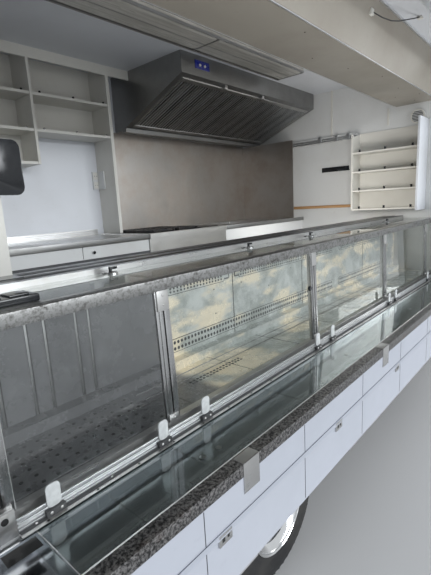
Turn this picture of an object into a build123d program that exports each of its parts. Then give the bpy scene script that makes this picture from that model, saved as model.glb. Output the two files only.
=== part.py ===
from build123d import *
import os
from math import atan2, cos, hypot, radians, sin

# Food truck with an open serving side, in millimetres
# Modelling frame: X = 0 at the rear axle and forward is +X, Y = 0 is the vehicle's
# centre plane and left is +Y, Z = 0 is the ground. The serving side is the right side, -Y.

# Wheels and axles
TYRE_R = 317.0
TYRE_WIDTH = 185.0
RIM_R = 186.0
WHEEL_BORE_R = 32.0
RUNNING_GAP = 0.3
FRONT_TRACK = 1740.0
KINGPIN_INSET = 122.0
KINGPIN_R = 14.0
STUB_R = WHEEL_BORE_R - RUNNING_GAP
HAND_HOLES = 12
HAND_HOLE_RING = 138.0
HAND_HOLE_R = 13.0

# Box body, outside
BODY_WIDTH = 2450.0
BOX_REAR = -1585.0
BOX_LENGTH = 4610.0
FLOOR_LOW = 476.0
FLOOR_THICK = 80.0
CEILING = 2771.0
ROOF_THICK = 62.0
ROOF_EDGE_R = 45.0
WALL = 35.0
END_WALL = 45.0
POST_WIDTH = 85.0
POST_DEPTH = 58.0
HEADER_HEIGHT = 82.0

# Box body, worked out, with the axles that follow it
AXLE_AHEAD = 1075.0
TRACK_INSET = 561.0
SIDE = -BODY_WIDTH / 2
LEFT = BODY_WIDTH / 2
PAST_SIDES = (SIDE - 75.0, LEFT + 75.0)
BOX_FRONT = BOX_REAR + BOX_LENGTH
WHEELBASE = BOX_FRONT + AXLE_AHEAD
REAR_TRACK = BODY_WIDTH - TRACK_INSET
FLOOR_TOP = FLOOR_LOW + FLOOR_THICK
INNER_LEFT = LEFT - WALL
END_FACE = BOX_FRONT - END_WALL
REAR_FACE = BOX_REAR + WALL
ROOF_TOP = CEILING + ROOF_THICK

# Skirt below the serving ledge
SKIRT_LOW = 544.0
SKIRT_SEAM = 734.0
SKIRT_TOP = 855.0
SKIRT_THICK = 26.0
SEAM_HEIGHT = 14.0
LEDGE_TOP = 896.0
LEDGE_DEPTH = 278.0
LEDGE_SHEET = 4.0
TRAY_DROP = 34.0
TRAY_MARGIN = 46.0
SHELF_GLASS = 6.0

# Refrigerated display case on the serving side
CASE_REAR_END = BOX_REAR + 500.0
CASE_TOE = 310.0
CASE_DEPTH = 800.0
CASE_RAIL_TOP = 937.0
CASE_GLASS_TOP = 1406.0
CASE_TOP = 1441.0
GLASS_LEAN = 16.0
CASE_GLASS = 6.0
POST_SECTION = 22.0
CASE_BACK = 690.0
CASE_LENGTH = END_FACE - CASE_REAR_END
CASE_FIRST_POST = 69.0
# Each glass joint after the first, as a share of the case's length
CASE_POST_SHARES = [0.15203, 0.40812, 0.6679, 0.92251]
CASE_POSTS = [CASE_FIRST_POST] + [share * CASE_LENGTH for share in CASE_POST_SHARES]

# Rear counter, worktop, stove and the wall behind them
COUNTER_FRONT = INNER_LEFT - 685.0
COUNTER_TOP = 1474.0
WORKTOP_THICK = 30.0
STOVE_START = 665.0
STOVE_LENGTH = 900.0
STOVE_RIM = 6.0
BURNER_IN = 220.0
BURNER_PITCH = 270.0
BURNER_COLUMNS = 2
KNOB_DROP = 184.0
SPLASH_SHEET = 3.0
SPLASH_HOOD_GAP = 2.0
GUTTER_DROP = 14.0
SPLASH_SIDE = END_FACE - 195.0
UPSTAND = 44.0
DRAWER_HEIGHT = 78.0
DRAWER_DEPTH = 480.0
LOCK_IN = 76.0

# Extraction hood
HOOD_START = 958.0
HOOD_END = END_FACE - 35.0
HOOD_FRONT = INNER_LEFT - 855.0
HOOD_FACE_LOW = 2623.0
HOOD_REAR_LOW = 2330.0
HOOD_REAR = INNER_LEFT - 100.0
HOOD_SHEET = 18.0

# Shelf unit, plate rack and ceiling beam
UNIT_FRONT = INNER_LEFT - 239.0
UNIT_END = 760.0
UNIT_DIVIDER = 118.0
UNIT_BOARD = 18.0
UNIT_SIDE = 28.0
UNIT_LOW = 2012.0
UNIT_SHELVES = [2232.0, 2472.0]
UNIT_HEADER = 2702.0
RACK_DEPTH = 200.0
RACK_SIDE_FROM = SIDE + 419.0
RACK_SIDE_TO = SIDE + 1065.0
RACK_LOW = 1535.0
RACK_TOP = 2293.0
RACK_BOARD = 15.0
RACK_SHELVES = 4
RACK_HEAD = 209.0
BEAM_LOW = 2490.0
BEAM_FRONT_LOW = SIDE + 359.0
BEAM_FRONT_TOP = SIDE + 270.0
BEAM_BACK = SIDE + 712.0
BEAM_SHEET = 12.0

# Serving flap and its gas struts
FLAP_THICK = 30.0
FLAP_LENGTH = 1912.0
FLAP_OPEN_ANGLE = 96.0
FLAP_GAP = 4.0
FLAP_RIM = 8.0
HINGE_Z = ROOF_TOP - 38.0
HINGE_OUT = 22.0
HINGE_R = 9.0
STRUT_ON_FLAP = 240.0
STRUT_DROP = 80.0
STRUT_FOOT_DOWN = 1290.0
STRUT_FOOT_IN = 34.0
STRUT_TUBE_R = 14.0
STRUT_ROD_R = 6.0
STRUT_TUBE_LENGTH = 700.0
STRUT_OVERLAP = 60.0
STRUT_EYE_HALF = 8.0
STRUT_PIN_R = 6.0

# Cab
CAB_HALF = 1015.0
CAB_WALL = 45.0
CAB_BACK = BOX_FRONT + 20.0
CAB_NOSE = WHEELBASE + 885.0
CAB_LOW = 330.0
CAB_ROOF = 2290.0
SCREEN_BASE = (WHEELBASE + 400.0, 1290.0)
SCREEN_TOP = (WHEELBASE - 200.0, 2130.0)
ARCH_R = 398.0
DOOR_GAP = 8.0
PILLAR_GAP = 14.0

# Chassis
RAIL_Y = 415.0
RAIL_HALF = 35.0
RAIL_HEIGHT = 96.0


def block(x, y, z):
    """A box between two X, two Y and two Z values."""
    size = (x[1] - x[0], y[1] - y[0], z[1] - z[0])
    return Pos(x[0], y[0], z[0]) * Box(*size, align=(Align.MIN, Align.MIN, Align.MIN))


def outline(points, radius=0.0):
    """A closed face from points, with rounded corners where a radius is given."""
    if radius:
        return make_face(FilletPolyline(*points, radius=radius, close=True))
    return make_face(Polyline(*points, close=True))


def along_x(points, x, radius=0.0):
    """A profile of (y, z) points, extruded between two X values."""
    face = Plane.YZ.offset(x[0]) * outline(points, radius)
    return extrude(face, amount=x[1] - x[0], dir=(1, 0, 0))


def along_y(points, y, radius=0.0):
    """A profile of (x, z) points, extruded between two Y values."""
    face = Plane.XZ.offset(-y[0]) * outline(points, radius)
    return extrude(face, amount=y[1] - y[0], dir=(0, 1, 0))


def along_z(points, z, radius=0.0):
    """A profile of (x, y) points, extruded between two Z values."""
    face = Plane.XY.offset(z[0]) * outline(points, radius)
    return extrude(face, amount=z[1] - z[0], dir=(0, 0, 1))


def rod(start, end, radius):
    """A round bar from one point to another."""
    line = Vector(*end) - Vector(*start)
    plane = Plane(origin=start, z_dir=line)
    return extrude(plane * Circle(radius), amount=line.length)


def both(shape):
    """A shape and its mirror image across the centre plane."""
    return [shape, mirror(shape, Plane.XZ)]


def joined(shapes):
    """One shape fused from several."""
    result = shapes[0]
    for shape in shapes[1:]:
        result = result + shape
    return result


def group(shapes):
    """Separate solids kept side by side in one node."""
    solids = []
    for shape in shapes:
        solids += list(shape.solids())
    return Compound(solids)


# Chassis frame: two rails that drop behind the cab, cross members and outriggers

RAIL_TOP = FLOOR_LOW
RAIL_BEND = BOX_FRONT - 120.0
FRONT_RAIL_TOP = 420.0
rail_side = [
    (BOX_REAR, RAIL_TOP),
    (RAIL_BEND, RAIL_TOP),
    (CAB_BACK, FRONT_RAIL_TOP),
    (CAB_NOSE - 70.0, FRONT_RAIL_TOP),
    (CAB_NOSE - 70.0, FRONT_RAIL_TOP - RAIL_HEIGHT),
    (CAB_BACK, FRONT_RAIL_TOP - RAIL_HEIGHT),
    (RAIL_BEND, RAIL_TOP - RAIL_HEIGHT),
    (BOX_REAR, RAIL_TOP - RAIL_HEIGHT),
]


def make_chassis():
    rails = both(along_y(rail_side, (RAIL_Y - RAIL_HALF, RAIL_Y + RAIL_HALF)))
    members = []
    for x in (BOX_REAR + 60.0, -700.0, 700.0, 1800.0, RAIL_BEND - 90.0):
        members.append(block((x - 30, x + 30), (-RAIL_Y, RAIL_Y), (RAIL_TOP - 80, RAIL_TOP - 6)))
    for x in (CAB_BACK + 300.0, CAB_NOSE - 220.0):
        members.append(block((x - 30, x + 30), (-RAIL_Y, RAIL_Y),
                             (FRONT_RAIL_TOP - 80, FRONT_RAIL_TOP - 6)))
    reach = LEFT - WALL - 30.0
    for x in (BOX_REAR + 60.0, -700.0, 700.0, 1800.0, RAIL_BEND - 90.0):
        profile = [(RAIL_Y, RAIL_TOP), (reach, RAIL_TOP), (reach, RAIL_TOP - 28), (RAIL_Y, RAIL_TOP - 80)]
        members += both(along_x(profile, (x - 15, x + 15)))
    return joined(rails + members)


# Box body: floor with wheel boxes, walls, roof and the frame of the serving opening

WHEEL_BOX_HALF = TYRE_R + 58.0
WHEEL_BOX_IN = REAR_TRACK / 2 - TYRE_WIDTH / 2 - 40.0
WHEEL_BOX_TOP = 2 * TYRE_R + 66.0
WHEEL_BOX_WALL = 16.0


def make_floor():
    edge = INNER_LEFT
    floor = block((BOX_REAR, BOX_FRONT), (SIDE + WALL, edge), (FLOOR_LOW, FLOOR_TOP))
    for sign in (1, -1):
        y = sorted((sign * WHEEL_BOX_IN, sign * (LEFT + 1)))
        floor -= block((-WHEEL_BOX_HALF, WHEEL_BOX_HALF), y, (FLOOR_LOW - 1, FLOOR_TOP + 1))
        outer = sorted((sign * (WHEEL_BOX_IN - WHEEL_BOX_WALL), sign * edge))
        half = WHEEL_BOX_HALF + WHEEL_BOX_WALL
        housing = block((-half, half), outer, (FLOOR_LOW, WHEEL_BOX_TOP + WHEEL_BOX_WALL))
        housing -= block((-WHEEL_BOX_HALF, WHEEL_BOX_HALF), y, (FLOOR_LOW - 1, WHEEL_BOX_TOP))
        floor += housing
    return floor


def make_left_wall():
    wall = block((BOX_REAR, BOX_FRONT), (INNER_LEFT, LEFT), (FLOOR_LOW, CEILING))
    arch = Pos(0, LEFT, TYRE_R) * Rot(90, 0, 0) * Cylinder(WHEEL_BOX_HALF, 4 * WALL)
    return wall - arch


REAR_DOOR_Y = (-350.0, 400.0)
REAR_DOOR_TOP = FLOOR_TOP + 1960.0
WINDOW_Y = (-150.0, 200.0)
WINDOW_Z = (1750.0, 2250.0)


def make_rear_wall():
    wall = block((BOX_REAR, REAR_FACE), (SIDE + POST_DEPTH, INNER_LEFT), (FLOOR_TOP, CEILING))
    wall -= block((BOX_REAR - 1, REAR_FACE + 1), REAR_DOOR_Y, (FLOOR_TOP - 1, REAR_DOOR_TOP))
    pieces = [wall]
    for z in REAR_HINGES:
        for side in (-1, 1):
            near = z + side * (DOOR_KNUCKLE + RUNNING_GAP)
            span = sorted((near, near + side * 30.0))
            pieces.append(rod((*REAR_HINGE, span[0]), (*REAR_HINGE, span[1]), 8.0))
            pieces.append(block((REAR_HINGE[0] - 2, BOX_REAR + 1), (REAR_HINGE[1] + 2, REAR_HINGE[1] + 8),
                                span))
    return joined(pieces)


REAR_DOOR_LEAF = 32.0
REAR_HINGE = (BOX_REAR - 12.0, REAR_DOOR_Y[1] + 2.0)
REAR_HINGES = (FLOOR_TOP + 200.0, FLOOR_TOP + 980.0, REAR_DOOR_TOP - 200.0)
DOOR_KNUCKLE = 40.0


def make_rear_door():
    y = (REAR_DOOR_Y[0] + DOOR_GAP, REAR_DOOR_Y[1] - DOOR_GAP)
    z = (FLOOR_TOP + DOOR_GAP, REAR_DOOR_TOP - DOOR_GAP)
    leaf = block((BOX_REAR - 8.0, BOX_REAR - 8.0 + REAR_DOOR_LEAF), y, z)
    leaf -= block((BOX_REAR - 60, REAR_FACE + 20), WINDOW_Y, WINDOW_Z)
    rim = block((BOX_REAR - 12.0, BOX_REAR + 30.0), (WINDOW_Y[0] - 20, WINDOW_Y[1] + 20),
                (WINDOW_Z[0] - 20, WINDOW_Z[1] + 20))
    rim -= block((BOX_REAR - 60, REAR_FACE + 20), WINDOW_Y, WINDOW_Z)
    pane = block((BOX_REAR + 6.0, BOX_REAR + 11.0), WINDOW_Y, WINDOW_Z)
    handle = block((BOX_REAR - 40.0, BOX_REAR - 8.0), (y[0] + 40, y[0] + 70), (1420.0, 1560.0))
    handle -= block((BOX_REAR - 28.0, BOX_REAR - 8.0), (y[0] + 30, y[0] + 80), (1440.0, 1540.0))
    knuckles = []
    for z_hinge in REAR_HINGES:
        knuckle = rod((*REAR_HINGE, z_hinge - DOOR_KNUCKLE), (*REAR_HINGE, z_hinge + DOOR_KNUCKLE), 8.0)
        strap = block((REAR_HINGE[0] - 3, REAR_HINGE[0] + 4), (y[1] - 90, REAR_HINGE[1]),
                      (z_hinge - DOOR_KNUCKLE, z_hinge + DOOR_KNUCKLE))
        knuckles += [knuckle, strap]
    return joined([leaf, rim, pane, handle] + knuckles)


def make_front_wall():
    return block((END_FACE, BOX_FRONT), (SIDE + POST_DEPTH, INNER_LEFT), (FLOOR_TOP, CEILING))


def make_roof():
    profile = [(SIDE, CEILING), (SIDE, ROOF_TOP), (LEFT, ROOF_TOP), (LEFT, CEILING)]
    roof = along_x(profile, (BOX_REAR, BOX_FRONT))
    top_edges = roof.edges().filter_by(Axis.X).group_by(Axis.Z)[-1]
    roof = fillet(top_edges, ROOF_EDGE_R)
    vent = block((-500.0, -80.0), (80.0, 500.0), (ROOF_TOP, ROOF_TOP + 22.0))
    dome = along_x([(100.0, ROOF_TOP + 20), (120.0, ROOF_TOP + 62), (460.0, ROOF_TOP + 62),
                    (480.0, ROOF_TOP + 20)], (-480.0, -100.0))
    stack = Pos(1900.0, 700.0, ROOF_TOP + 50.0) * Cylinder(160.0, 100.0)
    cowl = Pos(1900.0, 700.0, ROOF_TOP + 115.0) * Cylinder(215.0, 30.0)
    return joined([roof, vent, dome, stack, cowl])


FRAME_IN = SIDE + POST_DEPTH
HINGE = (SIDE - HINGE_OUT, HINGE_Z)
HINGE_HALF = 120.0
FRAME_HINGES = (BOX_REAR + 300.0, BOX_REAR + BOX_LENGTH / 2, BOX_FRONT - 300.0)


def make_side_frame():
    pieces = []
    for x in ((BOX_REAR, BOX_REAR + POST_WIDTH), (BOX_FRONT - POST_WIDTH, BOX_FRONT)):
        pieces.append(block(x, (SIDE, FRAME_IN), (SKIRT_TOP, CEILING)))
    pieces.append(block((BOX_REAR, BOX_FRONT), (SIDE, FRAME_IN), (CEILING - HEADER_HEIGHT, CEILING)))
    for x in FRAME_HINGES:
        ends = (x - HINGE_HALF, x + HINGE_HALF)
        pieces.append(rod((ends[0], *HINGE), (ends[1], *HINGE), HINGE_R))
        pieces.append(block(ends, (HINGE[0], SIDE), (HINGE_Z - 4.0, HINGE_Z + 4.0)))
        pieces.append(block(ends, (SIDE - 2.0, SIDE), (CEILING - HEADER_HEIGHT, HINGE_Z + 4.0)))
    return joined(pieces + strut_foot_pins())


def make_skirt():
    skirt_y = (SIDE, SIDE + SKIRT_THICK)
    panel = block((BOX_REAR, BOX_FRONT), skirt_y, (SKIRT_LOW, SKIRT_TOP))
    seam = along_x([(SIDE - 7, SKIRT_SEAM - SEAM_HEIGHT / 2), (SIDE - 3, SKIRT_SEAM + SEAM_HEIGHT / 2),
                    (SIDE + 4, SKIRT_SEAM + SEAM_HEIGHT / 2), (SIDE + 4, SKIRT_SEAM - SEAM_HEIGHT / 2)],
                   (BOX_REAR, BOX_FRONT))
    foot = along_x([(SIDE, SKIRT_LOW), (SIDE + WALL, SKIRT_LOW), (SIDE + WALL, SKIRT_LOW - 12),
                    (SIDE, SKIRT_LOW - 4)],
                   (BOX_REAR, BOX_FRONT))
    return joined([panel, seam, foot])


# Ledge: folded steel tray along the serving side, with the glass shelf over it

LEDGE_IN = SIDE + LEDGE_DEPTH
LEDGE_X = (BOX_REAR + POST_WIDTH, BOX_FRONT - POST_WIDTH)


def make_ledge():
    top = LEDGE_TOP - SHELF_GLASS
    low = top - TRAY_DROP
    outer_in = SIDE + TRAY_MARGIN
    inner_in = LEDGE_IN - 24.0
    profile = [
        (SIDE, SKIRT_TOP),
        (SIDE, LEDGE_TOP),
        (outer_in, LEDGE_TOP),
        (outer_in, low + LEDGE_SHEET),
        (inner_in, low + LEDGE_SHEET),
        (inner_in, top),
        (LEDGE_IN, top),
        (LEDGE_IN, low),
        (outer_in - LEDGE_SHEET, low),
        (outer_in - LEDGE_SHEET, SKIRT_TOP),
    ]
    return along_x(profile, LEDGE_X)


GLASS_SHELF_X = (CASE_REAR_END + 90.0, END_FACE - 60.0)


def make_glass_shelf():
    y = (SIDE + TRAY_MARGIN + 4.0, LEDGE_IN - 2.0)
    z = (LEDGE_TOP - SHELF_GLASS, LEDGE_TOP)
    panes = []
    count = 4
    length = (GLASS_SHELF_X[1] - GLASS_SHELF_X[0]) / count
    for index in range(count):
        start = GLASS_SHELF_X[0] + index * length
        panes.append(block((start, start + length - 3.0), y, z))
    return group(panes)


# Display case: cabinet, perforated steel, frame, glass and top

CASE_FRONT = SIDE + CASE_TOE
CASE_REAR = SIDE + CASE_DEPTH
CASE_BACK_Y = SIDE + CASE_BACK
DECK_Z = CASE_RAIL_TOP - 8.0
DECK_SHEET = 3.0
CASE_BASE = LEDGE_TOP - 8.0
DECK_LIP = 15.0
CASE_X = (CASE_REAR_END, END_FACE)
RAIL_DEPTH = 30.0
NOSING_DEPTH = 34.0
REAR_RAIL_WIDTH = 190.0
REAR_RAIL_RISE = 20.0


def make_case_cabinet():
    low = FLOOR_TOP
    top = CASE_BASE
    body = block(CASE_X, (LEDGE_IN, CASE_REAR), (low, top))
    body -= block((CASE_X[0] + 20, CASE_X[1] - 20), (LEDGE_IN + 20, CASE_REAR - 20), (low + 20, top - 20))
    half = WHEEL_BOX_HALF + WHEEL_BOX_WALL + 2.0
    wheel_top = WHEEL_BOX_TOP + WHEEL_BOX_WALL + 2.0
    body -= block((-half, half), (SIDE, -WHEEL_BOX_IN + WHEEL_BOX_WALL + 2.0), (low - 1, wheel_top))
    return body


def make_case_ducts():
    deck_y = (CASE_FRONT + RAIL_DEPTH, CASE_BACK_Y)
    deck = block((CASE_X[0] + 20, CASE_X[1] - 20), deck_y, (DECK_Z - DECK_SHEET, DECK_Z))
    back_x = (CASE_X[0] + 20, CASE_X[1] - 20)
    back = block(back_x, (CASE_BACK_Y - DECK_SHEET, CASE_BACK_Y),
                 (DECK_Z - DECK_SHEET, CASE_GLASS_TOP - 76.0))
    duct = block(back_x, (CASE_BACK_Y - 58.0, CASE_BACK_Y), (DECK_Z - DECK_SHEET, DECK_Z + 42.0))
    duct -= block((back_x[0] - 1, back_x[1] + 1), (CASE_BACK_Y - 55.0, CASE_BACK_Y - 3.0),
                  (DECK_Z, DECK_Z + 39.0))
    return joined([deck, back, duct])


GLASS_LOW = (CASE_FRONT + 10.0, CASE_RAIL_TOP)
GLASS_HIGH = (CASE_FRONT + 10.0 + GLASS_LEAN, CASE_GLASS_TOP)


def make_case_frame():
    x = CASE_X
    rail = block(x, (CASE_FRONT, CASE_FRONT + RAIL_DEPTH), (LEDGE_TOP + 6.0, CASE_RAIL_TOP))
    toe = block(x, (LEDGE_IN, CASE_FRONT + RAIL_DEPTH), (CASE_BASE, LEDGE_TOP + 6.0))
    lip = block(x, (CASE_FRONT + RAIL_DEPTH - 1.0, CASE_FRONT + RAIL_DEPTH + DECK_LIP),
                (CASE_BASE, DECK_Z - DECK_SHEET))
    back_rail = block(x, (CASE_BACK_Y, CASE_REAR), (CASE_BASE, DECK_Z + 30.0))
    nose_y = CASE_FRONT + GLASS_LEAN - 2.0
    nosing = block(x, (nose_y, nose_y + NOSING_DEPTH), (CASE_GLASS_TOP, CASE_TOP))
    rear_rail = block(x, (CASE_REAR - REAR_RAIL_WIDTH, CASE_REAR),
                      (CASE_TOP - 30.0, CASE_TOP + REAR_RAIL_RISE))
    pieces = [rail, toe, lip, back_rail, nosing, rear_rail]
    for end in (x[0], x[1] - 20.0):
        panel = along_x([(CASE_FRONT + 2, CASE_BASE), (CASE_FRONT + 2 + GLASS_LEAN, CASE_GLASS_TOP + 6),
                         (CASE_REAR, CASE_GLASS_TOP + 6), (CASE_REAR, CASE_BASE)], (end, end + 20.0))
        pieces.append(panel)
    for distance in CASE_POSTS:
        post_x = x[0] + distance
        y = CASE_FRONT + 18.0
        profile = [(y, CASE_RAIL_TOP), (y + GLASS_LEAN, CASE_GLASS_TOP + 2),
                   (y + GLASS_LEAN + 12.0, CASE_GLASS_TOP + 2),
                   (y + 12.0, CASE_RAIL_TOP)]
        pieces.append(along_x(profile, (post_x - POST_SECTION / 2, post_x + POST_SECTION / 2)))
        rear = block((post_x - 15, post_x + 15), (CASE_BACK_Y + 2, CASE_BACK_Y + 32),
                     (DECK_Z + 29.0, CASE_TOP - 28.0))
        pieces.append(rear)
    return joined(pieces)


def make_case_glass():
    stops = [CASE_X[0] + distance for distance in CASE_POSTS] + [CASE_X[1] - 22.0]
    panes = []
    for start, end in zip(stops, stops[1:]):
        y0, z0 = GLASS_LOW
        y1, z1 = GLASS_HIGH
        profile = [(y0 - CASE_GLASS, z0), (y1 - CASE_GLASS, z1), (y1, z1), (y0, z0)]
        panes.append(along_x(profile, (start + 2.0, end - 2.0)))
    return group(panes)


def make_case_top():
    front = CASE_FRONT + GLASS_LEAN - 2.0 + NOSING_DEPTH
    back = CASE_REAR - REAR_RAIL_WIDTH
    panes = []
    stops = [CASE_X[0] + 2.0] + [CASE_X[0] + distance for distance in CASE_POSTS[1:]] + [CASE_X[1] - 2.0]
    for start, end in zip(stops, stops[1:]):
        panes.append(block((start + 1.5, end - 1.5), (front, back), (CASE_TOP - 8.0, CASE_TOP)))
    return group(panes)


# Rear counter: white cabinet with two drawers, steel worktop, stove, splash panels

COUNTER_X = (REAR_FACE + 60.0, END_FACE)
STOVE_X = (STOVE_START, STOVE_START + STOVE_LENGTH)
STOVE_FRONT = COUNTER_FRONT - 8.0
DRAWERS = {"drawer_rear": (-480.0, 577.5), "drawer_front": (102.5, 554.5)}
DRAWER_GAP = 5.0
DRAWER_TOP = COUNTER_TOP - WORKTOP_THICK - DRAWER_GAP


def make_counter():
    low = FLOOR_TOP
    top = COUNTER_TOP - WORKTOP_THICK
    pieces = []
    for x in ((COUNTER_X[0], STOVE_X[0] - 2.0), (STOVE_X[1] + 2.0, COUNTER_X[1])):
        shell = block(x, (COUNTER_FRONT, INNER_LEFT), (low, top))
        shell -= block((x[0] + 20, x[1] - 20), (COUNTER_FRONT + 20, INNER_LEFT - 20), (low + 90, top - 20))
        pieces.append(shell)
    counter = group(pieces)
    half = WHEEL_BOX_HALF + WHEEL_BOX_WALL + 2.0
    housing_y = (WHEEL_BOX_IN - WHEEL_BOX_WALL - 2.0, LEFT)
    counter -= block((-half, half), housing_y, (low - 1, WHEEL_BOX_TOP + WHEEL_BOX_WALL + 2.0))
    for start, width in DRAWERS.values():
        slot_x = (start - DRAWER_GAP, start + width + DRAWER_GAP)
        slot_y = (COUNTER_FRONT - 1, COUNTER_FRONT + DRAWER_DEPTH + 6)
        counter -= block(slot_x, slot_y, (DRAWER_TOP - DRAWER_HEIGHT - RUNNING_GAP, top + 1))
    return counter


def make_drawer(start, width):
    x = (start, start + width)
    z = (DRAWER_TOP - DRAWER_HEIGHT, DRAWER_TOP)
    front = block(x, (COUNTER_FRONT - 1.0, COUNTER_FRONT + 18.0), z)
    tray = block((x[0] + 14, x[1] - 14), (COUNTER_FRONT + 17.0, COUNTER_FRONT + DRAWER_DEPTH),
                 (z[0] + 6, z[1] - 14))
    tray -= block((x[0] + 20, x[1] - 20), (COUNTER_FRONT + 18.0, COUNTER_FRONT + DRAWER_DEPTH - 6),
                  (z[0] + 12, z[1]))
    lock = Pos(x[0] + LOCK_IN, COUNTER_FRONT - 6.0, z[1] - 40.0) * Rot(90, 0, 0) * Cylinder(12.0, 12.0)
    return joined([front, tray, lock])


def make_worktop():
    pieces = []
    for x in ((COUNTER_X[0], STOVE_X[0] - 2.0), (STOVE_X[1] + 2.0, COUNTER_X[1])):
        slab = block(x, (COUNTER_FRONT - 14.0, INNER_LEFT), (COUNTER_TOP - WORKTOP_THICK, COUNTER_TOP))
        lip = block(x, (COUNTER_FRONT - 14.0, COUNTER_FRONT - 6.0), (COUNTER_TOP, COUNTER_TOP + 6.0))
        pieces.append(slab + lip)
    upstand_x = (COUNTER_X[0], STOVE_X[0] - 2.0)
    pieces[0] += block(upstand_x, (INNER_LEFT - 16.0, INNER_LEFT), (COUNTER_TOP, COUNTER_TOP + UPSTAND))
    sink = block((1900.0, 2300.0), (700.0, 1050.0), (COUNTER_TOP - 24.0, COUNTER_TOP + 1))
    return group(pieces) - sink


def make_stove():
    x = STOVE_X
    body = block(x, (STOVE_FRONT, INNER_LEFT - 60.0), (FLOOR_TOP, COUNTER_TOP - 30.0))
    top = block(x, (STOVE_FRONT - 12.0, INNER_LEFT - 60.0), (COUNTER_TOP - 30.0, COUNTER_TOP + STOVE_RIM))
    well = block((x[0] + 30, x[1] - 30), (STOVE_FRONT + 50, INNER_LEFT - 100),
                 (COUNTER_TOP - 6.0, COUNTER_TOP + 20))
    top -= well
    pieces = [body, top]
    plate_x = (x[0] + BURNER_IN + BURNER_COLUMNS * BURNER_PITCH - 120.0, x[1] - 40.0)
    plate_y = (STOVE_FRONT + 62.0, INNER_LEFT - 112.0)
    pieces.append(block(plate_x, plate_y, (COUNTER_TOP - 8.0, COUNTER_TOP + 12.0)))
    for column in range(BURNER_COLUMNS):
        for row in range(2):
            cx = x[0] + BURNER_IN + column * BURNER_PITCH
            cy = STOVE_FRONT + 190.0 + row * 270.0
            pieces.append(Pos(cx, cy, COUNTER_TOP + 2) * Cylinder(45.0, 22.0))
            for step in (-100.0, 0.0, 100.0):
                pieces.append(block((cx - 112, cx + 112), (cy + step - 6, cy + step + 6),
                                    (COUNTER_TOP + 10, COUNTER_TOP + 24)))
            for side in (-106.0, 106.0):
                pieces.append(block((cx + side - 6, cx + side + 6), (cy - 118, cy + 118),
                                    (COUNTER_TOP - 8, COUNTER_TOP + 24)))
    for index in range(6):
        kx = x[0] + 100.0 + index * 140.0
        knob = Rot(90, 0, 0) * Cylinder(22.0, 32.0)
        pieces.append(Pos(kx, STOVE_FRONT - 14.0, COUNTER_TOP - KNOB_DROP) * knob)
    return joined(pieces)


SPLASH_X = (UNIT_END + 24.0, SPLASH_SIDE)


def make_splash():
    z = (COUNTER_TOP, HOOD_REAR_LOW - SPLASH_HOOD_GAP)
    back = block(SPLASH_X, (INNER_LEFT - SPLASH_SHEET, INNER_LEFT), z)
    under_gutter = (COUNTER_TOP, z[1] - GUTTER_DROP)
    side = block((SPLASH_SIDE - SPLASH_SHEET, SPLASH_SIDE), (COUNTER_FRONT, INNER_LEFT), under_gutter)
    return back + side


# Extraction hood: folded canopy with a sloping underside that holds baffle filters

HOOD_X = (HOOD_START, HOOD_END)
HOOD_TOP = CEILING


def make_hood():
    outer = [
        (HOOD_FRONT, HOOD_TOP),
        (HOOD_FRONT, HOOD_FACE_LOW),
        (HOOD_REAR, HOOD_REAR_LOW),
        (INNER_LEFT, HOOD_REAR_LOW),
        (INNER_LEFT, HOOD_TOP),
    ]
    shell = along_x(outer, HOOD_X)
    slope = atan2(HOOD_FACE_LOW - HOOD_REAR_LOW, HOOD_REAR - HOOD_FRONT)
    rise = HOOD_SHEET / cos(slope)
    inner = [
        (HOOD_FRONT + HOOD_SHEET, HOOD_TOP - HOOD_SHEET),
        (HOOD_FRONT + HOOD_SHEET, HOOD_FACE_LOW + rise),
        (HOOD_REAR, HOOD_REAR_LOW + rise),
        (INNER_LEFT - 30.0, HOOD_REAR_LOW + rise),
        (INNER_LEFT - 30.0, HOOD_TOP - HOOD_SHEET),
    ]
    shell -= along_x(inner, (HOOD_X[0] + HOOD_SHEET, HOOD_X[1] - HOOD_SHEET))
    pieces = []
    run = HOOD_REAR - HOOD_FRONT
    fall = HOOD_FACE_LOW - HOOD_REAR_LOW
    bank = (HOOD_X[1] - HOOD_X[0] - 120.0) / 4
    for index in range(4):
        x0 = HOOD_X[0] + 60.0 + index * bank
        y0, y1 = HOOD_FRONT + 0.10 * run, HOOD_FRONT + 0.86 * run
        z0, z1 = HOOD_FACE_LOW - 0.10 * fall, HOOD_FACE_LOW - 0.86 * fall
        window = [(y0, z0 - 30), (y1, z1 - 30), (y1, z1 + 60), (y0, z0 + 60)]
        shell -= along_x(window, (x0 + 8, x0 + bank - 8))
        for bar in range(12):
            bx = x0 + 12 + (bank - 24) * (bar + 0.5) / 12
            profile = [(y0 - 2, z0 - 2), (y1 + 2, z1 - 2), (y1 + 2, z1 + 12), (y0 - 2, z0 + 12)]
            pieces.append(along_x(profile, (bx - 9, bx + 9)))
    gutter = along_x([(HOOD_REAR - 46, HOOD_REAR_LOW - GUTTER_DROP),
                      (HOOD_REAR + 4, HOOD_REAR_LOW - GUTTER_DROP),
                      (HOOD_REAR + 4, HOOD_REAR_LOW + 2), (HOOD_REAR - 50, HOOD_REAR_LOW + 18)],
                     (HOOD_X[0] + 4, HOOD_X[1] - 4))
    return joined([shell, gutter] + pieces)


# Shelf unit on the left wall, plate rack on the end wall, small fittings

UNIT_X = (REAR_FACE, UNIT_END)


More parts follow.
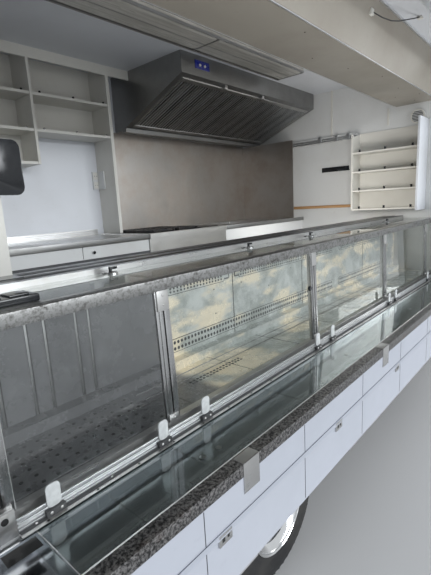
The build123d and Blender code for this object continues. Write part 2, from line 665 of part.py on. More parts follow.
def make_shelf_unit():
    top = CEILING
    y = (UNIT_FRONT, INNER_LEFT)
    pieces = []
    header_x = (UNIT_X[0], HOOD_X[0])
    pieces.append(block(header_x, (UNIT_FRONT, UNIT_FRONT + UNIT_BOARD), (UNIT_HEADER, top)))
    pieces.append(block((UNIT_END - UNIT_SIDE, UNIT_END), y, (COUNTER_TOP + STOVE_RIM, top)))
    pieces.append(block((UNIT_DIVIDER - UNIT_BOARD / 2, UNIT_DIVIDER + UNIT_BOARD / 2), y, (UNIT_LOW, top)))
    pieces.append(block((UNIT_X[0], UNIT_X[0] + UNIT_BOARD), y, (UNIT_LOW, top)))
    back_y = (INNER_LEFT - UNIT_BOARD / 2, INNER_LEFT)
    pieces.append(block((UNIT_X[0], UNIT_DIVIDER), back_y, (UNIT_LOW, top)))
    pieces.append(block((UNIT_DIVIDER, UNIT_END - 1.0), back_y, (min(UNIT_SHELVES), top)))
    boards = [(UNIT_LOW, UNIT_DIVIDER)] + [(z, UNIT_END - 1.0) for z in UNIT_SHELVES]
    for z, end in boards:
        pieces.append(block((UNIT_X[0], end), (UNIT_FRONT + 6, INNER_LEFT), (z, z + UNIT_BOARD)))
    return joined(pieces)


RACK_FRONT = END_FACE - RACK_DEPTH


def make_plate_rack():
    x = (RACK_FRONT, END_FACE)
    back = block((END_FACE - 12.0, END_FACE), (RACK_SIDE_FROM, RACK_SIDE_TO), (RACK_LOW, RACK_TOP))
    pieces = [back]
    side = [(x[0], RACK_LOW), (x[1], RACK_LOW), (x[1], RACK_TOP), (x[0] + 40, RACK_TOP - 40),
            (x[0], RACK_TOP - 20)]
    pieces.append(along_y(side, (RACK_SIDE_TO - RACK_BOARD, RACK_SIDE_TO)))
    deep = [(x[0] - 60, RACK_LOW - 12), (x[1], RACK_LOW - 12), (x[1], RACK_TOP + 40),
            (x[0] - 60, RACK_TOP + 40)]
    pieces.append(along_y(deep, (RACK_SIDE_FROM, RACK_SIDE_FROM + RACK_BOARD)))
    pitch = (RACK_TOP - RACK_HEAD - RACK_LOW) / (RACK_SHELVES - 1)
    for index in range(RACK_SHELVES):
        z = RACK_LOW + index * pitch
        shelf = block((x[0] + 6, x[1]), (RACK_SIDE_FROM + 2, RACK_SIDE_TO - 2), (z, z + RACK_BOARD))
        pieces.append(shelf)
        for share in (0.12, 0.5, 0.88):
            y = RACK_SIDE_FROM + share * (RACK_SIDE_TO - RACK_SIDE_FROM)
            pieces.append(Pos(x[0] + 20, y, z + RACK_BOARD + 12) * Cylinder(9.0, 26.0))
    return joined(pieces)


def make_wall_fittings():
    face = END_FACE
    start = RACK_SIDE_TO + 20.0
    trunk = block((face - 32.0, face), (start, start + 805.0), (2262.0, 2312.0))
    rail = block((face - 14.0, face), (start, start + 408.0), (1962.0, 2004.0))
    strip = block((face - 20.0, face), (start, start + 745.0), (1568.0, 1594.0))
    vent = Pos(face - 8.0, RACK_SIDE_FROM + 91.0, RACK_TOP + 79.0) * Rot(0, 90, 0) * Cylinder(62.0, 16.0)
    corner = UNIT_END - UNIT_SIDE
    plug_z = (1848.0, 1994.0)
    wall_socket = block((corner - 58.0, corner - 8.0), (INNER_LEFT - 14.0, INNER_LEFT), plug_z)
    side_socket = block((corner - 14.0, corner), (INNER_LEFT - 102.0, INNER_LEFT - 16.0), plug_z)
    return group([trunk, rail, strip, vent, wall_socket, side_socket])


# Order screen on a folded stand, at the rear end of the display case's top

SCREEN_X = (CASE_REAR_END + 95.0, CASE_REAR_END + 401.0)
SCREEN_Z = (CASE_TOP + 292.0, CASE_TOP + 468.0)
STAND_X = (CASE_REAR_END + 165.0, CASE_REAR_END + 329.0)


def make_order_screen():
    y = CASE_REAR - 30.0
    foot_z = CASE_TOP + REAR_RAIL_RISE
    corners = [(SCREEN_X[0], SCREEN_Z[0]), (SCREEN_X[1], SCREEN_Z[0]),
               (SCREEN_X[1], SCREEN_Z[1]), (SCREEN_X[0], SCREEN_Z[1])]
    screen = along_y(corners, (y - 44.0, y - 14.0), 26.0)
    stand = block(STAND_X, (y - 15.0, y - 9.0), (foot_z, SCREEN_Z[0] + 60.0))
    foot = block(STAND_X, (y - 105.0, y - 9.0), (foot_z, foot_z + 6.0))
    return joined([screen, stand, foot])


def make_beam():
    x = (REAR_FACE, END_FACE)
    top = CEILING
    outer = [(BEAM_FRONT_LOW, BEAM_LOW), (BEAM_FRONT_TOP, top), (BEAM_BACK, top), (BEAM_BACK, BEAM_LOW)]
    beam = along_x(outer, x)
    sheet = BEAM_SHEET
    inner = [(BEAM_FRONT_LOW + sheet, BEAM_LOW + sheet), (BEAM_FRONT_TOP + sheet, top + 1),
             (BEAM_BACK - sheet, top + 1), (BEAM_BACK - sheet, BEAM_LOW + sheet)]
    return beam - along_x(inner, (x[0] + sheet, x[1] - sheet))


def make_ceiling_light():
    z = (CEILING - 40.0, CEILING)
    profile = [(-40.0, z[1]), (-40.0, z[0] + 12), (-10.0, z[0]), (190.0, z[0]), (220.0, z[0] + 12),
               (220.0, z[1])]
    return along_x(profile, (REAR_FACE + 300.0, 2060.0))


# Serving flap, open, with a gas strut at each end

FLAP_X = (BOX_REAR + 4.0, BOX_FRONT - 4.0)
OPEN_LIFT = FLAP_OPEN_ANGLE - 90.0


def flap_point(distance, below):
    """A (y, z) point on the open flap: along it from the hinge, and below its middle plane."""
    lift = radians(OPEN_LIFT)
    y = HINGE[0] - distance * cos(lift) - below * sin(lift)
    z = HINGE[1] + distance * sin(lift) - below * cos(lift)
    return (y, z)


def make_flap():
    half = FLAP_THICK / 2
    start = HINGE_R + FLAP_GAP
    outer = [flap_point(start, half), flap_point(FLAP_LENGTH, half),
             flap_point(FLAP_LENGTH, -half), flap_point(start, -half)]
    panel = along_x(outer, FLAP_X)
    rim = [flap_point(FLAP_LENGTH - 40, half), flap_point(FLAP_LENGTH, half),
           flap_point(FLAP_LENGTH, -half - FLAP_RIM), flap_point(FLAP_LENGTH - 40, -half - FLAP_RIM)]
    pieces = [panel, along_x(rim, FLAP_X)]
    for middle in FRAME_HINGES:
        for side in (-1, 1):
            near = middle + side * (HINGE_HALF + RUNNING_GAP)
            span = sorted((near, near + side * 60.0))
            pieces.append(rod((span[0], *HINGE), (span[1], *HINGE), HINGE_R))
            leaf = [flap_point(0, 4), flap_point(70, 4), flap_point(70, -4), flap_point(0, -4)]
            pieces.append(along_x(leaf, span))
    for x in STRUT_X.values():
        lug = [flap_point(STRUT_ON_FLAP - 30, half - 2), flap_point(STRUT_ON_FLAP + 30, half - 2),
               flap_point(STRUT_ON_FLAP + 12, STRUT_DROP + 14), flap_point(STRUT_ON_FLAP - 12,
                                                                           STRUT_DROP + 14)]
        side = x["lug_side"]
        span = sorted((x["x"] + side * 12.0, x["x"] + side * 18.0))
        pieces.append(along_x(lug, span))
        pin = sorted((x["x"] + side * 9.5, x["x"] + side * 13.0))
        pieces.append(rod((pin[0], *STRUT_EYE), (pin[1], *STRUT_EYE), STRUT_PIN_R))
    return joined(pieces)


STRUT_X = {
    "rear": {"x": BOX_REAR + POST_WIDTH + 34.0, "lug_side": -1},
    "front": {"x": BOX_FRONT - POST_WIDTH - 34.0, "lug_side": 1},
}
STRUT_FOOT = (SIDE + STRUT_FOOT_IN, HINGE_Z - STRUT_FOOT_DOWN)
STRUT_EYE = flap_point(STRUT_ON_FLAP, STRUT_DROP)


STRUT_SPAN = hypot(STRUT_EYE[0] - STRUT_FOOT[0], STRUT_EYE[1] - STRUT_FOOT[1])


def strut_at(distance):
    """A (y, z) point on the open strut, at a distance from its foot."""
    share = distance / STRUT_SPAN
    return (STRUT_FOOT[0] + share * (STRUT_EYE[0] - STRUT_FOOT[0]),
            STRUT_FOOT[1] + share * (STRUT_EYE[1] - STRUT_FOOT[1]))


def strut_eye(x, point, radius):
    """A strut's flat eye about a pin, and the round room that its bar is cut back to."""
    half = STRUT_EYE_HALF
    eye = rod((x - half, *point), (x + half, *point), radius)
    eye -= rod((x - half - 1, *point), (x + half + 1, *point), STRUT_PIN_R + RUNNING_GAP)
    room = rod((x - half - 1, *point), (x + half + 1, *point), radius - 1.0)
    return eye, room


def make_strut_tube(x):
    tube = rod((x, *strut_at(28.0)), (x, *strut_at(STRUT_TUBE_LENGTH)), STRUT_TUBE_R)
    tube -= rod((x, *strut_at(70.0)), (x, *strut_at(STRUT_TUBE_LENGTH + 5.0)), STRUT_ROD_R + 0.5)
    eye, room = strut_eye(x, STRUT_FOOT, 15.0)
    neck = rod((x, *strut_at(8.0)), (x, *strut_at(40.0)), STRUT_ROD_R)
    return tube + (neck - room) + eye


def make_strut_rod(x):
    bar = rod((x, *strut_at(STRUT_TUBE_LENGTH - STRUT_OVERLAP)), (x, *strut_at(STRUT_SPAN - 8.0)),
              STRUT_ROD_R)
    eye, room = strut_eye(x, STRUT_EYE, 13.0)
    return (bar - room) + eye


def strut_foot_pins():
    """Pins that carry the struts, standing out of the corner posts."""
    pins = []
    rear, front = STRUT_X["rear"]["x"], STRUT_X["front"]["x"]
    pins.append(rod((BOX_REAR + POST_WIDTH - 10, *STRUT_FOOT), (rear + 14, *STRUT_FOOT), 6.0))
    pins.append(rod((front - 14, *STRUT_FOOT), (BOX_FRONT - POST_WIDTH + 10, *STRUT_FOOT), 6.0))
    for x in ((BOX_REAR + POST_WIDTH - 6, rear - 10), (front + 10, BOX_FRONT - POST_WIDTH + 6)):
        pins.append(rod((x[0], *STRUT_FOOT), (x[1], *STRUT_FOOT), 16.0))
    return pins


# Cab: one outer form and one inner form, cut into the panels of a light truck's cab

SIDE_VIEW = [
    (CAB_BACK, CAB_LOW),
    (CAB_NOSE - 60.0, CAB_LOW),
    (CAB_NOSE, 640.0),
    (CAB_NOSE - 22.0, 930.0),
    (CAB_NOSE - 130.0, 1010.0),
    SCREEN_BASE,
    SCREEN_TOP,
    (SCREEN_TOP[0] - 260.0, CAB_ROOF - 20.0),
    (CAB_BACK, CAB_ROOF),
]
FRONT_VIEW = [
    (CAB_HALF, CAB_LOW - 200.0),
    (CAB_HALF, 1280.0),
    (CAB_HALF - 60.0, 2130.0),
    (CAB_HALF - 190.0, CAB_ROOF + 30.0),
]
PLAN_VIEW = [
    (CAB_BACK - 1.0, CAB_HALF),
    (WHEELBASE + 250.0, CAB_HALF),
    (WHEELBASE + 650.0, CAB_HALF - 60.0),
    (WHEELBASE + 840.0, CAB_HALF - 190.0),
    (CAB_NOSE + 40.0, CAB_HALF - 560.0),
]


def cab_form(inset):
    """The cab's solid form, moved in by an inset on every side."""
    side = offset(outline(SIDE_VIEW), amount=-inset,
                  kind=Kind.INTERSECTION) if inset else outline(SIDE_VIEW)
    front = FRONT_VIEW + [(-y, z) for y, z in reversed(FRONT_VIEW)]
    plan = PLAN_VIEW + [(x, -y) for x, y in reversed(PLAN_VIEW)]
    front_face = offset(outline(front), amount=-inset, kind=Kind.INTERSECTION) if inset else outline(front)
    plan_face = offset(outline(plan), amount=-inset, kind=Kind.INTERSECTION) if inset else outline(plan)
    reach = CAB_HALF + 200.0
    by_side = extrude(Plane.XZ.offset(reach) * side, amount=2 * reach, dir=(0, 1, 0))
    by_front = extrude(Plane.YZ.offset(CAB_BACK - 100) * front_face, amount=CAB_NOSE - CAB_BACK + 300,
                       dir=(1, 0, 0))
    by_plan = extrude(plan_face, amount=CAB_ROOF + 400, dir=(0, 0, 1))
    return by_side & by_front & by_plan


DOOR_REAR = CAB_BACK + 95.0
DOOR_FRONT = WHEELBASE - 90.0
DOOR_LOW = 470.0
DOOR_TOP = 2120.0
BELT = 1310.0
DOOR_OUTLINE = [
    (DOOR_REAR, DOOR_LOW),
    (WHEELBASE - ARCH_R - 24.0, DOOR_LOW),
    (WHEELBASE - 330.0, 690.0),
    (DOOR_FRONT, 820.0),
    (DOOR_FRONT, BELT),
    (DOOR_FRONT - 40.0, BELT + 90.0),
    (SCREEN_TOP[0] - 190.0, DOOR_TOP),
    (DOOR_REAR, DOOR_TOP),
]
DOOR_WINDOW = [
    (DOOR_REAR + 70.0, BELT + 30.0),
    (DOOR_FRONT - 120.0, BELT + 30.0),
    (DOOR_FRONT - 120.0, BELT + 80.0),
    (SCREEN_TOP[0] - 235.0, DOOR_TOP - 80.0),
    (DOOR_REAR + 70.0, DOOR_TOP - 80.0),
]
SCREEN_HALF = CAB_HALF - 110.0
CAB_FLOOR_LOW = FRONT_RAIL_TOP + RUNNING_GAP
DASH_BACK = WHEELBASE - 160.0
COWL_TOP = SCREEN_BASE[1] - 28.0
CAB_HINGES = (1268.0,)
WING_HINGES = (900.0,)
CAB_KNUCKLE = 14.0
BONNET_HALF = 790.0
BONNET_BACK = SCREEN_BASE[0] + 20.0
BONNET_LIP = 925.0
BONNET_GAP = 7.0
BUMPER_TOP = 610.0
MIRROR_REACH = 235.0
GRILLE_HALF = 500.0
LAMP_LOW = 650.0
LAMP_TOP = 905.0
LAMP_BACK = WHEELBASE + 640.0
GRILLE_BACK = WHEELBASE + 600.0


def mirrored_prism(points, inner):
    """A side-view outline as two prisms, one on each side of the cab."""
    shape = along_y(points, (inner, CAB_HALF + 150.0))
    return both(shape)


def arch_cut():
    wheel = Pos(WHEELBASE, CAB_HALF, TYRE_R) * Rot(90, 0, 0) * Cylinder(ARCH_R, 1000.0)
    return both(wheel)


def make_cab(outer, skin):
    door_gap = offset(outline(DOOR_OUTLINE), amount=DOOR_GAP, kind=Kind.INTERSECTION)
    door_hole = extrude(Plane.XZ.offset(-(CAB_HALF - 400.0)) * door_gap, amount=560.0, dir=(0, 1, 0))
    pillar = block((DOOR_REAR - PILLAR_GAP, DOOR_REAR + 1), (CAB_HALF - 400.0, CAB_HALF + 160.0),
                   (DOOR_LOW - DOOR_GAP, DOOR_TOP + DOOR_GAP))
    shell = skin
    for hole in both(door_hole) + both(pillar):
        shell -= hole
    shell -= block((WHEELBASE + 60.0, CAB_NOSE + 100), PAST_SIDES, (0, SCREEN_BASE[1] - 60.0))
    shell -= block((DOOR_FRONT + DOOR_GAP, CAB_NOSE + 100), PAST_SIDES, (0, SCREEN_BASE[1] - 60.0))
    shell -= screen_prism(0.0)
    shell -= bonnet_room()
    shell -= block((CAB_BACK - 1, CAB_NOSE), (-(CAB_HALF - CAB_WALL - 2), CAB_HALF - CAB_WALL - 2),
                   (0, CAB_FLOOR_LOW))
    for cut in arch_cut():
        shell -= cut
    floor_half = CAB_HALF - 6.0
    floor = block((CAB_BACK + 1.0, WHEELBASE - 470.0), (-floor_half, floor_half),
                  (CAB_FLOOR_LOW, DOOR_LOW - DOOR_GAP))
    toe = [(WHEELBASE - 471.0, CAB_FLOOR_LOW), (DASH_BACK, 790.0), (DASH_BACK, COWL_TOP),
           (DASH_BACK + 30.0, COWL_TOP), (DASH_BACK + 30.0, 775.0), (WHEELBASE - 445.0, CAB_FLOOR_LOW)]
    toe_half = CAB_HALF - 70.0
    toe_board = along_y(toe, (-toe_half, toe_half))
    cowl = block((DASH_BACK, SCREEN_BASE[0] - 60.0), (-toe_half, toe_half), (COWL_TOP - 30.0, COWL_TOP))
    cowl_ends = block((DOOR_FRONT + DOOR_GAP, SCREEN_BASE[0] - 60.0), (-floor_half, floor_half),
                      (COWL_TOP - 30.0, COWL_TOP))
    bulk = joined([floor, toe_board, cowl, cowl_ends]) & outer
    hinges = []
    for z in CAB_HINGES:
        hinges += both(cab_hinge(z, 1))
    hinges += [bonnet_hinge(-1, 1), bonnet_hinge(1, 1)]
    return joined([shell, bulk] + hinges)


def cab_hinge(z, part):
    """One half of a door hinge: part 1 is on the cab, part 0 on the door."""
    axis = (DOOR_FRONT + DOOR_GAP / 2, CAB_HALF - 1.0)
    radius = DOOR_GAP / 2 - 0.4
    shape = []
    half = CAB_KNUCKLE
    near = half + RUNNING_GAP
    far = 2.4 * half
    spans = [(z - half, z + half)] if part == 0 else [(z - far, z - near), (z + near, z + far)]
    reach = (DOOR_FRONT - 2.0, axis[0]) if part == 0 else (axis[0], DOOR_FRONT + DOOR_GAP + 2.0)
    for span in spans:
        shape.append(rod((*axis, span[0]), (*axis, span[1]), radius))
        shape.append(block(reach, (axis[1] - 2.0, axis[1]), span))
    return joined(shape)


def screen_prism(shrink):
    """The windscreen opening, as a prism along X through the front of the cab."""
    half = SCREEN_HALF - shrink
    low = SCREEN_BASE[1] + 60.0 + shrink
    top = SCREEN_TOP[1] - 60.0 - shrink
    points = [(-half, low), (half, low), (half - 75.0, top), (-(half - 75.0), top)]
    return along_x(points, (SCREEN_TOP[0] - 60.0, CAB_NOSE), 60.0)


def make_doors(skin, mid):
    doors = []
    glasses = []
    leaf = along_y(DOOR_OUTLINE, (CAB_HALF - 400.0, CAB_HALF + 150.0))
    window = along_y(DOOR_WINDOW, (CAB_HALF - 400.0, CAB_HALF + 150.0), 40.0)
    door = (skin & leaf) - window
    handle = block((DOOR_REAR + 70.0, DOOR_REAR + 230.0), (CAB_HALF - 10.0, CAB_HALF + 16.0),
                   (1130.0, 1165.0))
    arm = along_y([(DOOR_FRONT - 104.0, BELT + 8.0), (DOOR_FRONT - 44.0, BELT + 8.0),
                   (DOOR_FRONT - 56.0, BELT + 60.0),
                   (DOOR_FRONT - 96.0, BELT + 60.0)], (CAB_HALF - 24.0, CAB_HALF + 90.0))
    head = block((DOOR_FRONT - 115.0, DOOR_FRONT - 45.0), (CAB_HALF + 60.0, CAB_HALF + MIRROR_REACH),
                 (BELT + 40.0, BELT + 390.0))
    head = fillet(head.edges().filter_by(Axis.Z), 22.0)
    door = joined([door, handle, arm, head] + [cab_hinge(z, 0) for z in CAB_HINGES + WING_HINGES])
    glass = mid & window
    for sign in (1, -1):
        doors.append(door if sign > 0 else mirror(door, Plane.XZ))
        glasses.append(glass if sign > 0 else mirror(glass, Plane.XZ))
    return doors, glasses


def bonnet_room():
    return block((BONNET_BACK - BONNET_GAP, CAB_NOSE + 80.0),
                 (-BONNET_HALF - BONNET_GAP, BONNET_HALF + BONNET_GAP),
                 (BONNET_LIP - BONNET_GAP, SCREEN_BASE[1] + 30))


def bonnet_hinge(side, part):
    """One half of a bonnet hinge: part 1 is on the cab, part 0 on the bonnet."""
    fall = (SCREEN_BASE[1] - 1010.0) / (SCREEN_BASE[0] - (CAB_NOSE - 130.0))
    x = BONNET_BACK - BONNET_GAP / 2
    z = SCREEN_BASE[1] + fall * (x - SCREEN_BASE[0])
    near = side * 600.0 if part == 0 else side * (600.0 - RUNNING_GAP)
    y = sorted((near, near + (40.0 if part == 0 else -40.0) * side))
    reach = (x, BONNET_BACK + 4.0) if part == 0 else (BONNET_BACK - BONNET_GAP - 4.0, x)
    return rod((x, y[0], z), (x, y[1], z), BONNET_GAP / 2 - 0.4) + block(reach, y, (z - 4.0, z - 0.5))


def make_front(outer, inner, skin):
    """Bonnet, wings, grille, lamps and bumper, cut from the cab's skin."""
    bonnet_box = block((BONNET_BACK, CAB_NOSE + 60.0), (-BONNET_HALF, BONNET_HALF),
                       (BONNET_LIP, SCREEN_BASE[1] + 10))
    bonnet = skin & bonnet_box
    for side in (-1, 1):
        bonnet = bonnet + bonnet_hinge(side, 0)
    seam = RUNNING_GAP
    lamp_x = (LAMP_BACK, CAB_NOSE + 60.0)
    lamp_y = (GRILLE_HALF + 2 * seam, CAB_HALF + 60.0)
    lamp_boxes = both(block(lamp_x, lamp_y, (LAMP_LOW, LAMP_TOP)))
    lamp_room = both(block((lamp_x[0] - seam, lamp_x[1]), (lamp_y[0] - seam, lamp_y[1]),
                           (LAMP_LOW - seam, LAMP_TOP + seam)))
    grille_box = block((GRILLE_BACK, CAB_NOSE + 60), (-GRILLE_HALF, GRILLE_HALF),
                       (BUMPER_TOP + seam, BONNET_LIP - 12.0))
    wing_top = SCREEN_BASE[1] - 60.0 - seam
    wing_box = block((DOOR_FRONT + DOOR_GAP, CAB_NOSE + 60), PAST_SIDES, (BUMPER_TOP + seam, wing_top))
    wing_low = block((DOOR_FRONT + DOOR_GAP, BUMPER_START - seam), PAST_SIDES,
                     (CAB_LOW, BUMPER_TOP + 5.0))
    wings = (skin & wing_box) + (skin & wing_low)
    wings -= bonnet_room()
    wings -= block((GRILLE_BACK - 4.0, CAB_NOSE + 60), (-GRILLE_HALF - seam, GRILLE_HALF + seam),
                   (0, SCREEN_BASE[1]))
    wings -= block((DOOR_FRONT, CAB_NOSE + 60), (-BONNET_HALF + 60, BONNET_HALF - 60), (0, SCREEN_BASE[1]))
    for cut in arch_cut() + lamp_room:
        wings -= cut
    for z in WING_HINGES:
        for half in both(cab_hinge(z, 1)):
            wings = wings + half
    lamps = [(outer - inner) & box for box in lamp_boxes]
    grille = skin & grille_box
    for index in range(5):
        z = BUMPER_TOP + 44.0 + index * 50.0
        grille -= block((GRILLE_BACK - 100.0, CAB_NOSE + 60), (-GRILLE_HALF + 40, GRILLE_HALF - 40),
                        (z, z + 28.0))
    for y in (-360.0, 360.0):
        buffer = block((CAB_NOSE - 50.0, CAB_NOSE - 34.0), (y - 12, y + 12),
                       (BONNET_LIP - 14.0, BONNET_LIP - RUNNING_GAP))
        grille = grille + buffer
    return bonnet, wings, grille, lamps


BUMPER_OUT = 34.0
BUMPER_START = WHEELBASE + 440.0
RAIL_END = CAB_NOSE - 70.0


def make_front_bumper(outer_plus, inner):
    bar = outer_plus - inner
    bar &= block((BUMPER_START, CAB_NOSE + 120), PAST_SIDES, (CAB_LOW - 60.0, BUMPER_TOP))
    rail_room = RAIL_Y + RAIL_HALF + 5.0
    bar -= block((BUMPER_START - 1, RAIL_END), (-rail_room, rail_room), (0, BUMPER_TOP + 1))
    bar -= inner & block((BUMPER_START - 1, CAB_NOSE), PAST_SIDES, (0, BUMPER_TOP + 1))
    for cut in arch_cut():
        bar -= cut
    slot = block((CAB_NOSE - 260.0, CAB_NOSE + 120), (-430.0, 430.0), (430.0, 520.0))
    return bar - slot


REAR_BUMPER = (BOX_REAR - 115.0, BOX_REAR - 25.0)
STEP_BACK = BOX_REAR - 250.0
REAR_LAMP_Y = (LEFT - 285.0, LEFT - 55.0)
REAR_LAMP_Z = (640.0, 760.0)


def make_rear_bumper():
    bar = block(REAR_BUMPER, (SIDE + 95.0, LEFT - 95.0), (390.0, 470.0))
    bar = fillet(bar.edges().filter_by(Axis.Y), 14.0)
    stays = both(block((REAR_BUMPER[1] - 2.0, BOX_REAR + 40.0),
                       (RAIL_Y + RAIL_HALF, RAIL_Y + RAIL_HALF + 14), (392.0, 460.0)))
    step = block((STEP_BACK, REAR_BUMPER[0] + 3), (REAR_DOOR_Y[0] + 60, REAR_DOOR_Y[1] - 60),
                 (392.0, 412.0))
    return joined([bar, step] + stays)


def rear_lamps():
    return both(block((BOX_REAR - 34.0, BOX_REAR - 0.5), REAR_LAMP_Y, REAR_LAMP_Z))


# Cab fittings: seats, dashboard with steering wheel, engine

SEAT_Y = 480.0
SEAT_HALF = 240.0
SEAT_LOW = DOOR_LOW + 170.0
SEAT_THICK = 130.0


def make_seats():
    seats = []
    rear = DOOR_REAR - 30.0
    top = SEAT_LOW + SEAT_THICK
    for y in (-SEAT_Y, SEAT_Y):
        cushion = block((rear + 120, rear + 580), (y - SEAT_HALF, y + SEAT_HALF), (SEAT_LOW, top))
        cushion = fillet(cushion.edges().filter_by(Axis.Z), 60.0)
        side_view = [(rear + 80, top - 70), (rear + 220, top - 70), (rear + 120, top + 560),
                     (rear + 10, top + 560)]
        back = along_y(side_view, (y - SEAT_HALF + 10, y + SEAT_HALF - 10))
        head = block((rear, rear + 80), (y - 130, y + 130), (top + 570, top + 770))
        neck = block((rear + 25, rear + 55), (y - 60, y + 60), (top + 550, top + 575))
        base = block((rear + 150, rear + 530), (y - 190, y + 190), (DOOR_LOW - DOOR_GAP, SEAT_LOW + 5))
        seats.append(joined([cushion, back, head, neck, base]))
    return group(seats)


def make_dashboard():
    back = DASH_BACK
    side_view = [(back, 860.0), (back, 1190.0), (back - 200.0, 1190.0), (back - 330.0, 1120.0),
                 (back - 330.0, 1000.0), (back - 180.0, 860.0)]
    dash = along_y(side_view, (-(CAB_HALF - 90.0), CAB_HALF - 90.0))
    centre = (back - 420.0, SEAT_Y, 1120.0)
    column = rod((back - 200.0, SEAT_Y, 1020.0), centre, 22.0)
    plane = Plane(origin=centre, z_dir=(-0.82, 0.0, 0.57))
    ring = plane * Torus(190.0, 15.0)
    hub = plane * Cylinder(60.0, 36.0)
    spokes = []
    for angle in (0.0, 120.0, 240.0):
        spokes.append(plane * Rot(0, 0, angle) * Pos(100.0, 0, 0) * Box(180.0, 30.0, 14.0))
    return joined([dash, column, ring, hub] + spokes)


def make_engine():
    block_x = (WHEELBASE + 130.0, WHEELBASE + 660.0)
    engine = block(block_x, (-300.0, 300.0), (FRONT_RAIL_TOP + 10.0, 1010.0))
    feet = both(block((block_x[0] + 180, block_x[0] + 260), (280.0, RAIL_Y + 20),
                      (FRONT_RAIL_TOP, FRONT_RAIL_TOP + 34.0)))
    return joined([engine] + feet)


# Running gear

def tyre_profile():
    half = TYRE_WIDTH / 2
    return [(RIM_R - 8, -half + 16), (RIM_R + 10, -half + 4), (RIM_R + 60, -half), (TYRE_R - 30, -half + 4),
            (TYRE_R - 6, -half + 16),
            (TYRE_R, -half + 36), (TYRE_R, half - 36), (TYRE_R - 6, half - 16), (TYRE_R - 30,
                                                                                 half - 4), (RIM_R + 60,
                                                                                             half),
            (RIM_R + 10, half - 4), (RIM_R - 8, half - 16)]


def make_wheel():
    """A wheel about the Z axis, outer face towards +Z."""
    half = TYRE_WIDTH / 2
    rim = [
        (RIM_R - 7, -half + 18), (RIM_R - 7, half - 18), (RIM_R + 4, half - 12), (RIM_R - 4, half - 3),
        (RIM_R - 22, half - 18), (RIM_R - 30, half - 52), (120.0, half - 44), (96.0, half - 30),
        (70.0, half - 44), (62.0, half - 20), (WHEEL_BORE_R, half - 16), (WHEEL_BORE_R, -20.0),
        (62.0, -20.0), (74.0, half - 62), (120.0, half - 60), (RIM_R - 26, half - 66),
        (RIM_R - 26, -half + 16),
    ]
    section = outline(tyre_profile()) + outline(rim)
    wheel = revolve(Plane.XZ * section, axis=Axis.Z)
    for index in range(HAND_HOLES):
        angle = radians(360.0 * (index + 0.5) / HAND_HOLES)
        place = Pos(HAND_HOLE_RING * cos(angle), HAND_HOLE_RING * sin(angle), half - 50)
        wheel -= place * Cylinder(HAND_HOLE_R, 80.0)
    return wheel


def place_wheel(wheel, x, y):
    turn = Rot(-90, 0, 0) if y > 0 else Rot(90, 0, 0)
    return Pos(x, y, TYRE_R) * turn * wheel


REAR_WHEEL_Y = REAR_TRACK / 2
FRONT_WHEEL_Y = FRONT_TRACK / 2
KINGPIN_Y = FRONT_WHEEL_Y - KINGPIN_INSET


def make_rear_axle():
    tube = rod((0, -(REAR_WHEEL_Y - 80), TYRE_R), (0, REAR_WHEEL_Y - 80, TYRE_R), 40.0)
    stubs = rod((0, -(REAR_WHEEL_Y + 62), TYRE_R), (0, REAR_WHEEL_Y + 62, TYRE_R), STUB_R)
    drums = both(Pos(0, REAR_WHEEL_Y - 60.0, TYRE_R) * Rot(90, 0, 0) * Cylinder(118.0, 60.0))
    low = RAIL_TOP - RAIL_HEIGHT
    leaves = [(-620.0, low - 8), (-600.0, low - 30), (0.0, TYRE_R - 40), (600.0, low - 30),
              (620.0, low - 8), (590.0, low), (0.0, TYRE_R - 10), (-590.0, low)]
    spring = along_y(leaves, (RAIL_Y + 70, RAIL_Y + 130))
    hangers = []
    for x in (-605.0, 605.0):
        hangers.append(block((x - 22, x + 22), (RAIL_Y + RAIL_HALF, RAIL_Y + 134),
                             (RAIL_TOP - RAIL_HEIGHT - 34, RAIL_TOP - RAIL_HEIGHT + 40)))
    return joined([tube, stubs] + drums + both(joined([spring] + hangers)))


AXLE_FORK = 70.0


def make_front_axle():
    end = KINGPIN_Y + 20.0
    beam = block((WHEELBASE - 35, WHEELBASE + 35), (-(KINGPIN_Y - 90), KINGPIN_Y - 90),
                 (TYRE_R - 96, TYRE_R - 36))
    saddles = both(block((WHEELBASE - 60, WHEELBASE + 60), (RAIL_Y - RAIL_HALF, RAIL_Y + RAIL_HALF),
                         (TYRE_R - 40, FRONT_RAIL_TOP - RAIL_HEIGHT)))
    forks = []
    for sign in (1, -1):
        y = sorted((sign * (KINGPIN_Y - 100), sign * (KINGPIN_Y - 42)))
        forks.append(block((WHEELBASE - 32, WHEELBASE + 32), y, (TYRE_R - 96, TYRE_R + 94)))
        arm = sorted((sign * (KINGPIN_Y - 43), sign * end))
        forks.append(block((WHEELBASE - 26, WHEELBASE + 26), arm, (TYRE_R - 96, TYRE_R - AXLE_FORK)))
        forks.append(block((WHEELBASE - 26, WHEELBASE + 26), arm, (TYRE_R + AXLE_FORK, TYRE_R + 94)))
        forks.append(rod((WHEELBASE, sign * KINGPIN_Y, TYRE_R - AXLE_FORK - 1),
                         (WHEELBASE, sign * KINGPIN_Y, TYRE_R + AXLE_FORK + 1), KINGPIN_R))
    return joined([beam] + saddles + forks)


